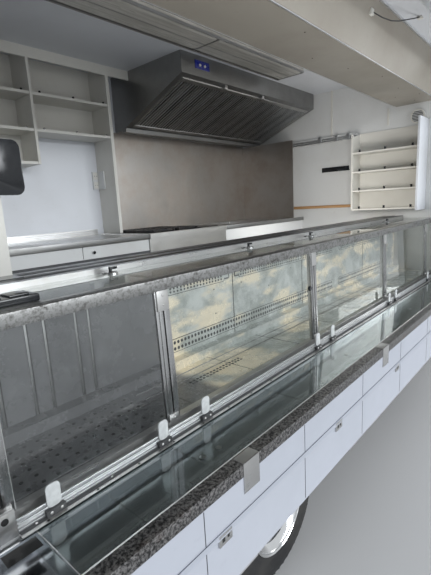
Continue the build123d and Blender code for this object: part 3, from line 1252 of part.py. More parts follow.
def make_knuckle():
    """Left knuckle: a barrel on the kingpin, a stub axle and a brake disc."""
    barrel = rod((WHEELBASE, KINGPIN_Y, TYRE_R - AXLE_FORK + 6),
                 (WHEELBASE, KINGPIN_Y, TYRE_R + AXLE_FORK - 6), 32.0)
    stub = rod((WHEELBASE, KINGPIN_Y + 10, TYRE_R), (WHEELBASE, FRONT_WHEEL_Y + 62, TYRE_R), STUB_R)
    boss = rod((WHEELBASE, KINGPIN_Y + 20, TYRE_R), (WHEELBASE, FRONT_WHEEL_Y - 66, TYRE_R), 50.0)
    disc = rod((WHEELBASE, FRONT_WHEEL_Y - 66, TYRE_R), (WHEELBASE, FRONT_WHEEL_Y - 42, TYRE_R), 135.0)
    arm = block((WHEELBASE - 150, WHEELBASE - 20), (KINGPIN_Y - 12, KINGPIN_Y + 12),
                (TYRE_R - 50, TYRE_R - 20))
    shape = joined([barrel, boss, disc, arm, stub])
    return shape - rod((WHEELBASE, KINGPIN_Y, TYRE_R - 100), (WHEELBASE, KINGPIN_Y, TYRE_R + 100),
                       KINGPIN_R + RUNNING_GAP)


def make_tank():
    tank = block((900.0, 1600.0), (520.0, 1000.0), (RAIL_TOP - 190.0, RAIL_TOP))
    return fillet(tank.edges().filter_by(Axis.X), 30.0)


# Every node, then the shift that puts the origin under the middle of the whole box

outer = cab_form(0.0)
inner = cab_form(CAB_WALL)
skin = outer - inner
mid = cab_form(10.0) - cab_form(18.0)
doors, door_glass = make_doors(skin, mid)
bonnet, wings, grille, lamps = make_front(outer, inner, skin)
wheel = make_wheel()
knuckle = make_knuckle()

nodes = {
    "chassis_frame": make_chassis(),
    "body_floor": make_floor(),
    "left_wall": make_left_wall(),
    "rear_wall": make_rear_wall(),
    "rear_door": make_rear_door(),
    "front_wall": make_front_wall(),
    "roof": make_roof(),
    "side_frame": make_side_frame(),
    "side_skirt": make_skirt(),
    "ledge_tray": make_ledge(),
    "glass_shelf": make_glass_shelf(),
    "case_cabinet": make_case_cabinet(),
    "case_ducts": make_case_ducts(),
    "case_frame": make_case_frame(),
    "case_glass": make_case_glass(),
    "case_top": make_case_top(),
    "rear_counter": make_counter(),
    "worktop": make_worktop(),
    "stove": make_stove(),
    "splash_panels": make_splash(),
    "hood": make_hood(),
    "shelf_unit": make_shelf_unit(),
    "plate_rack": make_plate_rack(),
    "wall_fittings": make_wall_fittings(),
    "order_screen": make_order_screen(),
    "ceiling_beam": make_beam(),
    "ceiling_light": make_ceiling_light(),
    "serving_flap": make_flap(),
    "cab_shell": make_cab(outer, skin),
    "cab_door_left": doors[0],
    "cab_door_right": doors[1],
    "door_glass_left": door_glass[0],
    "door_glass_right": door_glass[1],
    "windscreen": mid & screen_prism(RUNNING_GAP),
    "bonnet": bonnet,
    "wings": wings,
    "grille": grille,
    "lamps": group(lamps + rear_lamps()),
    "bumpers": group([make_front_bumper(cab_form(-BUMPER_OUT), inner), make_rear_bumper()]),
    "seats": make_seats(),
    "dashboard": make_dashboard(),
    "engine_block": make_engine(),
    "front_axle": make_front_axle(),
    "knuckle_left": knuckle,
    "knuckle_right": mirror(knuckle, Plane.XZ),
    "rear_axle": make_rear_axle(),
    "water_tank": make_tank(),
}
for name, (start, width) in DRAWERS.items():
    nodes[name] = make_drawer(start, width)
for name, strut in STRUT_X.items():
    nodes["strut_tube_" + name] = make_strut_tube(strut["x"])
    nodes["strut_rod_" + name] = make_strut_rod(strut["x"])
for name, x, y in (("rear", 0.0, REAR_WHEEL_Y), ("front", WHEELBASE, FRONT_WHEEL_Y)):
    nodes["wheel_" + name + "_left"] = place_wheel(wheel, x, y)
    nodes["wheel_" + name + "_right"] = place_wheel(wheel, x, -y)

lengthways = nodes["bumpers"].bounding_box()
middle_x = (lengthways.min.X + lengthways.max.X) / 2
middle_y = (nodes["serving_flap"].bounding_box().min.Y + nodes["cab_door_left"].bounding_box().max.Y) / 2
print("origin in the modelling frame", round(middle_x, 3), round(middle_y, 3))
print("strut foot and eye", STRUT_FOOT, STRUT_EYE)

os.makedirs("parts", exist_ok=True)
for name, shape in nodes.items():
    export_step(Pos(-middle_x, -middle_y, 0) * shape, "parts/" + name + ".step")
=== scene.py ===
# %% [markdown]
# # A food truck with an open serving side
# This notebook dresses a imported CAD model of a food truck. The CAD gives every main
# shape its true size and place. Blender adds what the eye reads next: brushed steel,
# clear glass, punched holes, ribbed rails, seams, screws and soft seats.
#
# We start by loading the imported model. It comes in as a fixed frame, so nothing here
# is moved to fit. We only add pieces, hang them on a CAD body, and give finishes.

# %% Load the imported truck
import math

import bmesh
import bpy
from mathutils import Matrix, Vector


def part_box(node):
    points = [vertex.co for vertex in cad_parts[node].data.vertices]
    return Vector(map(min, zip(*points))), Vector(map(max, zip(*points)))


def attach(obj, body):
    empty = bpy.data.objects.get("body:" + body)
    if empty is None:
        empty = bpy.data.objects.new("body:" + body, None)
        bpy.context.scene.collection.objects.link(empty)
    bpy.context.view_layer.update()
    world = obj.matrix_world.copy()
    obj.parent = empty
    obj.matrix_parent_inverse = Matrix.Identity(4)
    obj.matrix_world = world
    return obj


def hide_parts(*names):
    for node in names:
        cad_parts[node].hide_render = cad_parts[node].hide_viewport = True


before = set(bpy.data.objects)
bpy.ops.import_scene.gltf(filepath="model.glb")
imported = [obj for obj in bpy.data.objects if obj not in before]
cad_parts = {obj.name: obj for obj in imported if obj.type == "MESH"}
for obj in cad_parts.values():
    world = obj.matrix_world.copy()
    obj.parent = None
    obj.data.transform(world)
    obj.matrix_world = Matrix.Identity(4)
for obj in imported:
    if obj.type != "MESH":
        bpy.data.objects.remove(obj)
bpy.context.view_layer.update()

# %% [markdown]
# The truck was drawn in millimetres from three natural planes: the rear axle, the
# centre plane and the ground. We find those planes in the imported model, so that this
# notebook can speak in the same truck millimetres. `at` turns such a point into metres.

# %% Truck millimetres
wheel_low, wheel_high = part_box("wheel_rear_right")
roof_low, roof_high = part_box("roof")
AXLE = (wheel_low[0] + wheel_high[0]) / 2
MIDDLE = (roof_low[1] + roof_high[1]) / 2


def at(x, y, z):
    """A point given in truck millimetres, as metres in the shared frame."""
    return Vector((AXLE + x / 1000, MIDDLE + y / 1000, z / 1000))


def reach(node):
    """Low and high truck millimetres of a CAD node along X, Y and Z."""
    low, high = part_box(node)
    origin = (AXLE, MIDDLE, 0.0)
    return [(1000 * (near - start), 1000 * (far - start)) for near, far, start in zip(low, high, origin)]


(REAR, FRONT), (SIDE, LEFT), _ = reach("roof")
CEILING = reach("side_frame")[2][1]
END_FACE = reach("front_wall")[0][0]
REAR_FACE = reach("rear_wall")[0][1]
FLOOR = reach("rear_wall")[2][0]
LEDGE = reach("ledge_tray")[2][1]
CASE_X, (CASE_FRONT, CASE_REAR), (_, CASE_TOP) = reach("case_frame")
GLASS_LOW, GLASS_HIGH = reach("case_glass")[2]
CASE_TOP_FACE = reach("case_top")[2][1]
print("body from", round(REAR), "to", round(FRONT), "mm, ceiling at", round(CEILING), "mm")

# %% [markdown]
# ## The camera
# The photograph was taken by a person who stood at the rear end of the serving side.
# Three rows of directions, solved from the photograph's vanishing lines, turn the
# camera, and its focal length is in the photograph's pixels. Blender's lens is that
# length on a 36 mm sensor that spans the longer side of the picture.

# %% Place the camera
PICTURE_HEIGHT = 575
FOCAL_PIXELS = 409.1
SENSOR = 36.0
CAMERA_PLACE = (-1335.0, -1915.0, 1662.0)
RIGHT = Vector((0.65538, -0.75335, -0.05430))
DOWN = Vector((-0.18322, -0.08883, -0.97905))
FORWARD = Vector((0.73274, 0.65160, -0.19624))

lens = bpy.data.cameras.new("camera")
lens.sensor_width = SENSOR
lens.lens = FOCAL_PIXELS / PICTURE_HEIGHT * SENSOR
lens.clip_start = 0.01
camera = bpy.data.objects.new("camera", lens)
bpy.context.collection.objects.link(camera)
turn = Matrix((RIGHT, -DOWN, -FORWARD)).transposed().to_4x4()
camera.matrix_world = Matrix.Translation(at(*CAMERA_PLACE)) @ turn
bpy.context.scene.camera = camera
bpy.context.scene.view_settings.view_transform = "Standard"
print("lens", round(lens.lens, 2), "mm")

# %% [markdown]
# ## Node graphs that read like Python
# A finish is a small graph of nodes. `Signal` wraps one output of a node, so that
# `speckle * 0.4 + 0.3` adds the Math nodes by itself. `Graph` makes any node from its
# type, settings and sockets, for shaders and for geometry. `Finish` owns one material.

# %% Signals, graphs and finishes
class Signal:
    """One output of a node, with arithmetic that adds Math nodes."""

    def __init__(self, graph, socket):
        self.graph = graph
        self.socket = socket

    def combine(self, operation, first, second):
        return self.graph.node("ShaderNodeMath", {"operation": operation}, {0: first, 1: second})

    def __add__(self, other):
        return self.combine("ADD", self, other)

    def __rsub__(self, other):
        return self.combine("SUBTRACT", other, self)

    def __mul__(self, other):
        return self.combine("MULTIPLY", self, other)

    def __gt__(self, other):
        return self.combine("GREATER_THAN", self, other)

    def __lt__(self, other):
        return self.combine("LESS_THAN", self, other)


class Graph:
    """A node tree being built."""

    def __init__(self, tree):
        self.tree = tree

    def put(self, socket, value):
        """Links a signal to a socket, or gives the socket a plain value."""
        if isinstance(value, Signal):
            self.tree.links.new(value.socket, socket)
        elif isinstance(value, (tuple, list)) and len(value) == 3 and len(socket.default_value) == 4:
            socket.default_value = (*value, 1.0)
        else:
            socket.default_value = value

    def node(self, kind, settings=None, inputs=None, output=0):
        """Any node: its settings first, then values or links for its sockets."""
        made = self.tree.nodes.new(kind)
        for key, value in (settings or {}).items():
            setattr(made, key, value)
        for key, value in (inputs or {}).items():
            self.put(made.inputs[key], value)
        return Signal(self, made.outputs[output])


class Finish(Graph):
    """A material being built from nodes."""

    def __init__(self, name, slot, **plain):
        self.slot = slot
        self.material = bpy.data.materials.new(name)
        self.material.use_nodes = True
        super().__init__(self.material.node_tree)
        self.shader = self.tree.nodes["Principled BSDF"]
        for key, value in plain.items():
            self.feed(key.replace("_", " ").title(), value)

    def feed(self, name, value):
        self.put(self.shader.inputs[name], value)

    def along(self, axis):
        """The object coordinate along X, Y or Z, in metres."""
        here = self.node("ShaderNodeTexCoord", output="Object")
        return self.node("ShaderNodeSeparateXYZ", {}, {0: here}, output="XYZ".index(axis))

    def within(self, axis, low, high):
        """1 between two places along an axis of the shared frame, and 0 elsewhere."""
        here = self.along(axis)
        return (here > low) * (here < high)

    def place(self, stretch=(1.0, 1.0, 1.0)):
        """Object coordinates, stretched along each axis."""
        here = self.node("ShaderNodeTexCoord", output="Object")
        return self.node("ShaderNodeMapping", {}, {"Vector": here, "Scale": stretch})

    def noise(self, scale, stretch=(1.0, 1.0, 1.0), detail=3.0, rough=0.55):
        values = {"Vector": self.place(stretch), "Scale": scale, "Detail": detail, "Roughness": rough}
        return self.node("ShaderNodeTexNoise", {"noise_dimensions": "3D"}, values)

    def band(self, signal, low, high, first=0.0, last=1.0):
        """Smoothly remaps a signal from low..high to first..last."""
        values = {"Value": signal, "From Min": low, "From Max": high, "To Min": first, "To Max": last}
        return self.node("ShaderNodeMapRange", {"interpolation_type": "SMOOTHSTEP"}, values)

    def mix(self, share, first, second):
        """A colour between two colours."""
        settings = {"data_type": "RGBA", "clamp_factor": True}
        return self.node("ShaderNodeMix", settings, {0: share, 6: first, 7: second}, output=2)

    def bump(self, height, strength, depth=0.001):
        values = {"Height": height, "Strength": strength, "Distance": depth}
        self.feed("Normal", self.node("ShaderNodeBump", {}, values))


print("graph helpers ready")

# %% [markdown]
# ## Building shapes
# Most added parts are folded sheet, bars and turned parts. `Shape` gathers such solids
# in truck millimetres and rounds their edges a little, because a real edge is never
# perfectly sharp and its small highlight is what makes metal look like metal. The
# finished piece keeps its place in its mesh, as the CAD nodes do.

# %% Solids in truck millimetres
def span(middle, half):
    """The range that reaches `half` to both sides of its middle."""
    return (middle - half, middle + half)


def around(count):
    """The whole turn's angles in equal steps."""
    return [2 * math.pi * step / count for step in range(count)]


class Shape:
    """A mesh gathered from simple closed solids."""

    def __init__(self):
        self.mesh = bmesh.new()

    def solid(self, corners, faces, soft=0.0):
        """A closed solid from corners and faces, with its edges rounded by `soft`."""
        points = [self.mesh.verts.new(corner) for corner in corners]
        made = [self.mesh.faces.new([points[i] for i in face]) for face in faces]
        if soft:
            edges = list({edge for face in made for edge in face.edges})
            bmesh.ops.bevel(self.mesh, geom=edges, offset=soft, segments=2, profile=0.6, affect="EDGES")

    def slab(self, x, y, z, soft=0.0):
        """A box between two X, two Y and two Z values."""
        corners = [(x[i], y[j], z[k]) for i in (0, 1) for j in (0, 1) for k in (0, 1)]
        faces = [(0, 1, 3, 2), (4, 6, 7, 5), (0, 4, 5, 1), (2, 3, 7, 6), (0, 2, 6, 4), (1, 5, 7, 3)]
        self.solid(corners, faces, soft)

    def between(self, near, far, soft):
        """A solid between two outlines that have as many corners as each other."""
        count = len(near)
        faces = [tuple(range(count)), tuple(range(2 * count - 1, count - 1, -1))]
        faces += [(i, count + i, count + (i + 1) % count, (i + 1) % count) for i in range(count)]
        self.solid(near + far, faces, soft)

    def prism(self, outline, axis, ends, soft=0.0):
        """An outline pushed along X, Y or Z between two values."""
        cut = "xyz".index(axis)
        near, far = ([(*point[:cut], end, *point[cut:]) for point in outline] for end in ends)
        self.between(near, far, soft)

    def bar(self, start, end, radius, sides=16, soft=0.0):
        """A round bar with flat ends, from one point to another."""
        line = Vector(end) - Vector(start)
        side = line.orthogonal().normalized()
        other = line.normalized().cross(side)
        near, far = ([tuple(centre + radius * (side * math.cos(angle) + other * math.sin(angle)))
                      for angle in around(sides)] for centre in (Vector(start), Vector(end)))
        self.between(near, far, soft)

    def turned(self, centre, axis, profile, sides=24):
        """A closed ring of (radius, height) points turned about an axis through centre."""
        line = Vector(axis).normalized()
        side = line.orthogonal().normalized()
        other = line.cross(side)
        rings = []
        for angle in around(sides):
            out = side * math.cos(angle) + other * math.sin(angle)
            rings.append([self.mesh.verts.new(Vector(centre) + out * r + line * h) for r, h in profile])
        for here, there in zip(rings, rings[1:] + rings[:1]):
            for i in range(len(profile)):
                j = (i + 1) % len(profile)
                self.mesh.faces.new((here[i], there[i], there[j], here[j]))

    def data(self, name):
        """The finished mesh, with its place in metres."""
        for vert in self.mesh.verts:
            vert.co = at(*vert.co)
        bmesh.ops.recalc_face_normals(self.mesh, faces=self.mesh.faces)
        data = bpy.data.meshes.new(name)
        self.mesh.to_mesh(data)
        self.mesh.free()
        return data

    def piece(self, name, finish, body="body"):
        """Turns the shape into a finished object that rides on a CAD body."""
        return finish_piece(name, self.data(name), finish, body)


def finish_piece(name, data, finish, body, corner=35.0):
    """Links a mesh whose place is already right, and gives it its finish and body."""
    data.name = name
    thing = bpy.data.objects.new(name, data)
    bpy.context.collection.objects.link(thing)
    data.materials.clear()
    data.materials.append(finish.material)
    data.shade_smooth()
    data.set_sharp_from_angle(angle=math.radians(corner))
    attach(thing, body)
    return thing


def made_of(kind, name, finish, rows, body="body"):
    """One piece from a table, with one solid of the same kind on each row."""
    shape = Shape()
    for row in rows:
        getattr(shape, kind)(*row)
    return shape.piece(name, finish, body)


print("shape helpers ready")

# %% [markdown]
# ## Repeats with Geometry Nodes
# Screws, punched holes, filter blades, ribs and tread blocks are one small form many
# times over. A tree makes rows of such a form: a line of points, a second line that
# gives more rows, and an instance on each point. Another tree sets the form round a
# ring. Both end in Realize Instances and Set Material, so that the result is real mesh.

# %% A tree for rows and a tree for rings
def new_tree(name, wanted):
    """A geometry graph, and its declared inputs as signals."""
    graph = Graph(bpy.data.node_groups.new(name, "GeometryNodeTree"))
    for label, kind in wanted.items():
        graph.tree.interface.new_socket(label, in_out="INPUT", socket_type="NodeSocket" + kind)
    graph.tree.interface.new_socket("Geometry", in_out="OUTPUT", socket_type="NodeSocketGeometry")
    source = graph.tree.nodes.new("NodeGroupInput")
    return graph, {label: Signal(graph, source.outputs[label]) for label in wanted}


def small_form(graph, given, form):
    """The repeated form: a block, a disc or a dome."""
    if form == "block":
        return graph.node("GeometryNodeMeshCube", {}, {"Size": given["Size"]})
    if form == "disc":
        made = graph.node("GeometryNodeMeshCylinder", {}, {"Vertices": 12, "Radius": 0.5, "Depth": 1.0})
    else:
        made = graph.node("GeometryNodeMeshUVSphere", {}, {"Segments": 10, "Rings": 6, "Radius": 0.5})
    return graph.node("GeometryNodeTransform", {}, {"Geometry": made, "Scale": given["Size"]})


def close_tree(graph, given, points, form, rotation):
    """Sets the form on the points, makes it real mesh and gives it its material."""
    values = {"Points": points, "Instance": form, "Rotation": rotation}
    copies = graph.node("GeometryNodeInstanceOnPoints", {}, values)
    real = graph.node("GeometryNodeRealizeInstances", {}, {"Geometry": copies})
    paint = graph.node("GeometryNodeSetMaterial", {}, {"Geometry": real, "Material": given["Material"]})
    graph.put(graph.tree.nodes.new("NodeGroupOutput").inputs["Geometry"], paint)
    return graph.tree


def rows_tree(form):
    """Rows of a form: Count along Step, and Rows of them along Row Step."""
    vectors = {label: "Vector" for label in ("Start", "Step", "Row Step", "Size", "Turn")}
    wanted = {"Count": "Int", "Rows": "Int", **vectors, "Material": "Material"}
    graph, given = new_tree("rows of " + form, wanted)
    steps = {"Count": given["Count"], "Offset": given["Step"]}
    row_steps = {"Count": given["Rows"], "Offset": given["Row Step"], "Start Location": given["Start"]}
    line, rows = (graph.node("GeometryNodeMeshLine", {"mode": "OFFSET"}, values)
                  for values in (steps, row_steps))
    spread = graph.node("GeometryNodeInstanceOnPoints", {}, {"Points": rows, "Instance": line})
    grid = graph.node("GeometryNodeRealizeInstances", {}, {"Geometry": spread})
    return close_tree(graph, given, grid, small_form(graph, given, form), given["Turn"])


def ring_tree(form):
    """A form set Count times round the Y axis, at Radius, starting at Phase."""
    floats = {label: "Float" for label in ("Radius", "Phase", "Slant")}
    wanted = {"Count": "Int", **floats, "Centre": "Vector", "Size": "Vector", "Material": "Material"}
    graph, given = new_tree("ring of " + form, wanted)
    values = {"Count": given["Count"], "Start Location": given["Centre"], "Offset": (0.0, 0.0, 0.0)}
    line = graph.node("GeometryNodeMeshLine", {"mode": "OFFSET"}, values)
    share = given["Count"].combine("DIVIDE", graph.node("GeometryNodeInputIndex"), given["Count"])
    turned = {0: share, 1: 2 * math.pi, 2: given["Phase"]}
    angle = graph.node("ShaderNodeMath", {"operation": "MULTIPLY_ADD"}, turned)
    spin, lift, slant = (graph.node("ShaderNodeCombineXYZ", {}, {axis: value})
                         for axis, value in (("Y", angle), ("Z", given["Radius"]), ("Z", given["Slant"])))
    values = {"Geometry": small_form(graph, given, form), "Translation": lift, "Rotation": slant}
    return close_tree(graph, given, line, graph.node("GeometryNodeTransform", {}, values), spin)


FORMS = ("block", "disc", "dome")
ROWS = {form: rows_tree(form) for form in FORMS}
RINGS = {form: ring_tree(form) for form in FORMS}
print("repeat trees:", len(ROWS) + len(RINGS))

# %% [markdown]
# `run` and `ring_run` write one line of a repeat table. `repeated` runs a tree for each
# line, joins the results, and hands back one plain piece. A modifier's inputs are set by
# the socket's identifier, never its name.

# %% Run the trees
def metres(values):
    """Three truck millimetre sizes in metres."""
    return tuple(value / 1000 for value in values)


def run(form, start, size, count=1, step=(0, 0, 0), rows=1, row_step=(0, 0, 0), turn=(0, 0, 0)):
    """A form set `count` times along a step, and that in rows."""
    return ROWS[form], {"Start": tuple(at(*start)), "Size": metres(size), "Turn": turn,
                        "Count": count, "Step": metres(step), "Rows": rows, "Row Step": metres(row_step)}


def ring_run(form, centre, size, count, radius, phase, slant=0.0):
    """A form set `count` times round an axle."""
    return RINGS[form], {"Centre": tuple(at(*centre)), "Size": metres(size), "Count": count,
                         "Radius": radius / 1000, "Phase": phase, "Slant": slant}


def grown(tree, values):
    """The plain mesh that a tree makes from the named values."""
    seed = bpy.data.objects.new("seed", bpy.data.meshes.new("seed"))
    bpy.context.collection.objects.link(seed)
    modifier = seed.modifiers.new("repeat", "NODES")
    modifier.node_group = tree
    for item in tree.interface.items_tree:
        if item.in_out == "INPUT" and item.name in values:
            modifier[item.identifier] = values[item.name]
    data = evaluated(seed)
    seed.modifiers.remove(modifier)
    bpy.data.objects.remove(seed)
    return data


def evaluated(thing):
    """A plain mesh of an object as its modifiers leave it."""
    graph = bpy.context.evaluated_depsgraph_get()
    graph.update()
    return bpy.data.meshes.new_from_object(thing.evaluated_get(graph), depsgraph=graph)


def repeated(name, finish, lines, body="body"):
    """One piece from the lines of a repeat table."""
    gathered = bmesh.new()
    for tree, values in lines:
        data = grown(tree, {"Material": finish.material, **values})
        gathered.from_mesh(data)
        bpy.data.meshes.remove(data)
    data = bpy.data.meshes.new(name)
    gathered.to_mesh(data)
    gathered.free()
    return finish_piece(name, data, finish, body)


print("repeat helpers ready")

# %% [markdown]
# ## Painted and moulded finishes
# The outside is white gel coat: nearly even, with faint stains and a low gloss. The
# kitchen's wall board is the same colour but duller. Each finish varies its colour and
# roughness a little, because a single flat colour looks like a drawing, not a thing.

# %% White panels
def panel_finish(name, slot, colour, stain, rough, grain=0.15, coat=0.0):
    """A painted or laminated panel with faint stains and orange-peel grain."""
    made = Finish(name, slot, coat_weight=coat, coat_roughness=0.08)
    patches = made.noise(1.3, detail=5.0, rough=0.6)
    specks = made.noise(26.0, detail=2.0)
    share = made.band(patches, 0.42, 0.75) * 0.55 + made.band(specks, 0.62, 0.8) * 0.25
    made.feed("Base Color", made.mix(share, colour, stain))
    made.feed("Roughness", made.band(patches, 0.3, 0.75, rough, rough + 0.14))
    made.bump(made.noise(180.0, detail=2.0), grain, 0.0006)
    return made


PANELS = (
    # name, slot, colour, stain, roughness, grain, coat
    ("outer_white", "body_white", (0.66, 0.68, 0.72), (0.55, 0.56, 0.58), 0.34),
    # The skirt is the same white paint; its darker, bluish copy is painted shade under the ledge.
    ("skirt_white", "body_white", (0.31, 0.33, 0.38), (0.26, 0.28, 0.32), 0.36),
    ("board_white", "inner_white", (0.63, 0.64, 0.64), (0.50, 0.49, 0.46), 0.46),
    ("shelf_white", "inner_white", (0.66, 0.65, 0.61), (0.54, 0.52, 0.47), 0.42),
    # The beam is dirty cream, darkened to about half as painted shade from the flap above.
    ("beam_cream", "inner_white", (0.31, 0.285, 0.245), (0.24, 0.21, 0.175), 0.34),
    ("cab_white", "cab_paint", (0.50, 0.51, 0.53), (0.45, 0.46, 0.48), 0.22, 0.05, 0.6),
)
outer_white, skirt_white, board_white, shelf_white, beam_cream, cab_white = (
    panel_finish(*row) for row in PANELS)
print("white panels:", len(PANELS), "finishes")

# %% Plastic, rubber and cloth
def moulded_finish(name, slot, dark, light, rough, grain_scale=220.0, grain=0.35):
    """Moulded plastic or rubber with a fine grain and a worn, paler bloom."""
    made = Finish(name, slot)
    bloom = made.noise(5.0, detail=5.0, rough=0.65)
    made.feed("Base Color", made.mix(made.band(bloom, 0.38, 0.72), dark, light))
    made.feed("Roughness", made.band(bloom, 0.3, 0.7, rough, rough + 0.2))
    made.bump(made.noise(grain_scale, detail=3.0), grain, 0.0008)
    return made


MOULDED = (
    # name, slot, dark, light, roughness, grain scale, grain
    ("trim_black", "bumper_plastic", (0.035, 0.036, 0.038), (0.075, 0.076, 0.078), 0.45),
    ("gloss_black", "bumper_plastic", (0.010, 0.011, 0.013), (0.014, 0.016, 0.020), 0.05, 90.0, 0.0),
    ("chassis_black", "chassis_black", (0.028, 0.028, 0.030), (0.075, 0.066, 0.055), 0.48),
    ("dash_grey", "dash_plastic", (0.055, 0.056, 0.060), (0.085, 0.086, 0.090), 0.55),
    ("tyre_black", "tyre", (0.012, 0.012, 0.013), (0.034, 0.033, 0.031), 0.62, 60.0, 0.25),
    ("floor_grey", "floor_grey", (0.15, 0.15, 0.16), (0.27, 0.27, 0.28), 0.5, 120.0, 0.6),
    ("cast_iron", "engine_iron", (0.10, 0.10, 0.10), (0.20, 0.18, 0.16), 0.55, 90.0, 0.6),
)
trim_black, gloss_black, chassis_black, dash_grey, tyre_black, floor_grey, iron = (
    moulded_finish(*row) for row in MOULDED)

seat_cloth = Finish("seat_cloth", "seat_fabric", sheen_weight=0.3)
warp, weft = (seat_cloth.node("ShaderNodeTexWave", {"wave_type": "BANDS", "bands_direction": axis},
                              {"Vector": seat_cloth.place(), "Scale": 260.0, "Distortion": 0.4})
              for axis in "YZ")
weave = warp * 0.5 + weft * 0.5
seat_cloth.feed("Base Color", seat_cloth.mix(weave, (0.045, 0.05, 0.06), (0.11, 0.12, 0.14)))
seat_cloth.feed("Roughness", seat_cloth.band(weave, 0.2, 0.8, 0.8, 0.95))
seat_cloth.bump(weave, 0.5, 0.0008)
print("plastic, rubber and cloth:", len(MOULDED) + 1, "finishes")

# %% [markdown]
# ## Steel
# Brushed steel is a metal whose scratches all run one way. We stretch a noise pattern
# along the brushing, and let it drive the roughness and a slight bump. Smears and
# scuffs change the roughness on a larger scale, as cloths and pans leave them.

# %% Brushed, dark and polished steel
def steel_finish(name, slot, colour, warm, rough, along, spread=0.16, scratch=0.12):
    """Steel brushed along X, Y or Z, with smears and a warmer tone in places."""
    made = Finish(name, slot, metallic=1.0)
    stretch = [240.0, 240.0, 240.0]
    stretch["xyz".index(along)] = 3.0
    streak = made.noise(1.0, tuple(stretch), detail=2.0)
    smear = made.noise(3.2, detail=6.0, rough=0.7)
    scuff = made.noise(11.0, (1.0, 2.4, 1.0), detail=6.0, rough=0.75)
    tone = made.band(smear, 0.35, 0.7) * 0.7 + streak * 0.3
    made.feed("Base Color", made.mix(tone, colour, warm))
    worn = made.band(smear, 0.35, 0.75) * spread + made.band(scuff, 0.55, 0.72) * scratch
    made.feed("Roughness", worn + made.band(streak, 0.2, 0.8, rough, rough + 0.08))
    made.bump(streak, 0.12, 0.0004)
    return made


STEELS = (
    # name, slot, colour, warmer, roughness, brushed along, smears, scuffs
    ("brushed_steel", "steel", (0.60, 0.60, 0.60), (0.52, 0.51, 0.49), 0.24, "x"),
    ("tray_steel", "steel", (0.66, 0.68, 0.72), (0.54, 0.56, 0.58), 0.09, "x", 0.10, 0.06),
    # The splash steel's warm brown tone is partly painted reflection of the ground outside.
    ("splash_steel", "steel", (0.47, 0.455, 0.435), (0.40, 0.345, 0.30), 0.27, "z", 0.14, 0.12),
    ("hood_steel", "steel", (0.36, 0.36, 0.36), (0.30, 0.30, 0.29), 0.28, "x"),
    ("polished_trim", "alloy", (0.78, 0.78, 0.78), (0.62, 0.62, 0.61), 0.13, "z", 0.10, 0.14),
    ("clamp_steel", "alloy", (0.52, 0.52, 0.52), (0.36, 0.36, 0.36), 0.12, "z", 0.14, 0.14),
    ("dull_alloy", "alloy", (0.14, 0.143, 0.147), (0.10, 0.10, 0.106), 0.26, "x", 0.12, 0.10),
    ("rail_alloy", "alloy", (0.82, 0.83, 0.84), (0.66, 0.67, 0.68), 0.28, "x", 0.12, 0.10),
    ("chrome", "alloy", (0.86, 0.86, 0.86), (0.74, 0.74, 0.73), 0.05, "z", 0.05, 0.05),
    ("mirror_silver", "alloy", (0.90, 0.91, 0.92), (0.86, 0.87, 0.88), 0.02, "z", 0.01, 0.01),
    ("rim_silver", "tyre", (0.74, 0.75, 0.76), (0.55, 0.55, 0.55), 0.12, "x", 0.14, 0.12),
)
(steel, tray_steel, splash_steel, hood_steel, trim_steel, clamp_steel,
 dull_alloy, rail_alloy, chrome, mirror_silver, rim_silver) = (steel_finish(*row) for row in STEELS)

# The case's back panel has painted shade at its rear end, and from there on painted warm reflections in
# patches over a grey-green dust mottle.
deck_steel = Finish("deck_steel", "steel", metallic=0.25)
# Painted reflection: warm patches stand in for the bright outdoors mirrored in the panel.
reflection_patches = deck_steel.noise(3.4, (1.0, 1.0, 2.4), detail=5.0)
dust = deck_steel.noise(9.0, detail=6.0, rough=0.7)
shade = deck_steel.mix(deck_steel.band(dust, 0.38, 0.62), (0.60, 0.63, 0.60), (0.34, 0.37, 0.34))
lit = deck_steel.mix(deck_steel.band(reflection_patches, 0.46, 0.62), shade, (0.92, 0.82, 0.62))
# Painted shade: the panel is made dark at its rear end.
past_painted_rear_shade = deck_steel.band(deck_steel.along("X"), at(-190, 0, 0).x, at(-130, 0, 0).x)
deck_steel.feed("Base Color", deck_steel.mix(past_painted_rear_shade, (0.15, 0.15, 0.155), lit))
deck_steel.feed("Roughness", deck_steel.band(dust, 0.35, 0.75, 0.2, 0.42))

# The stove is pale steel, and what stands above its top inside the well is burnt iron.
hob = Finish("hob_and_steel", "steel")
WELL_LOW, WELL_HIGH = at(690, 545, 1462), at(1540, 1092, 1462)
well = hob.within("X", WELL_LOW.x, WELL_HIGH.x) * hob.within("Y", WELL_LOW.y, WELL_HIGH.y)
well = well * (hob.along("Z") > WELL_LOW.z)
burnt = hob.noise(24.0, detail=5.0)
iron_tone = hob.mix(hob.band(burnt, 0.4, 0.7), (0.012, 0.012, 0.014), (0.05, 0.042, 0.036))
hob.feed("Base Color", hob.mix(well, (0.80, 0.79, 0.77), iron_tone))
hob.feed("Metallic", well * -0.9 + 1.0)
hob.feed("Roughness", hob.band(burnt, 0.3, 0.7, 0.30, 0.36))

worn_edge = Finish("worn_nosing", "steel", metallic=1.0)
pits = worn_edge.noise(95.0, detail=5.0, rough=0.7)
blots = worn_edge.noise(16.0, (1.0, 3.0, 3.0), detail=6.0, rough=0.7)
wear = worn_edge.band(pits, 0.44, 0.62) * 0.6 + worn_edge.band(blots, 0.45, 0.7) * 0.5
worn_edge.feed("Base Color", worn_edge.mix(wear, (0.31, 0.31, 0.305), (0.09, 0.086, 0.08)))
worn_edge.feed("Roughness", worn_edge.band(wear, 0.0, 1.0, 0.34, 0.58))
worn_edge.bump(pits, 0.09, 0.0006)

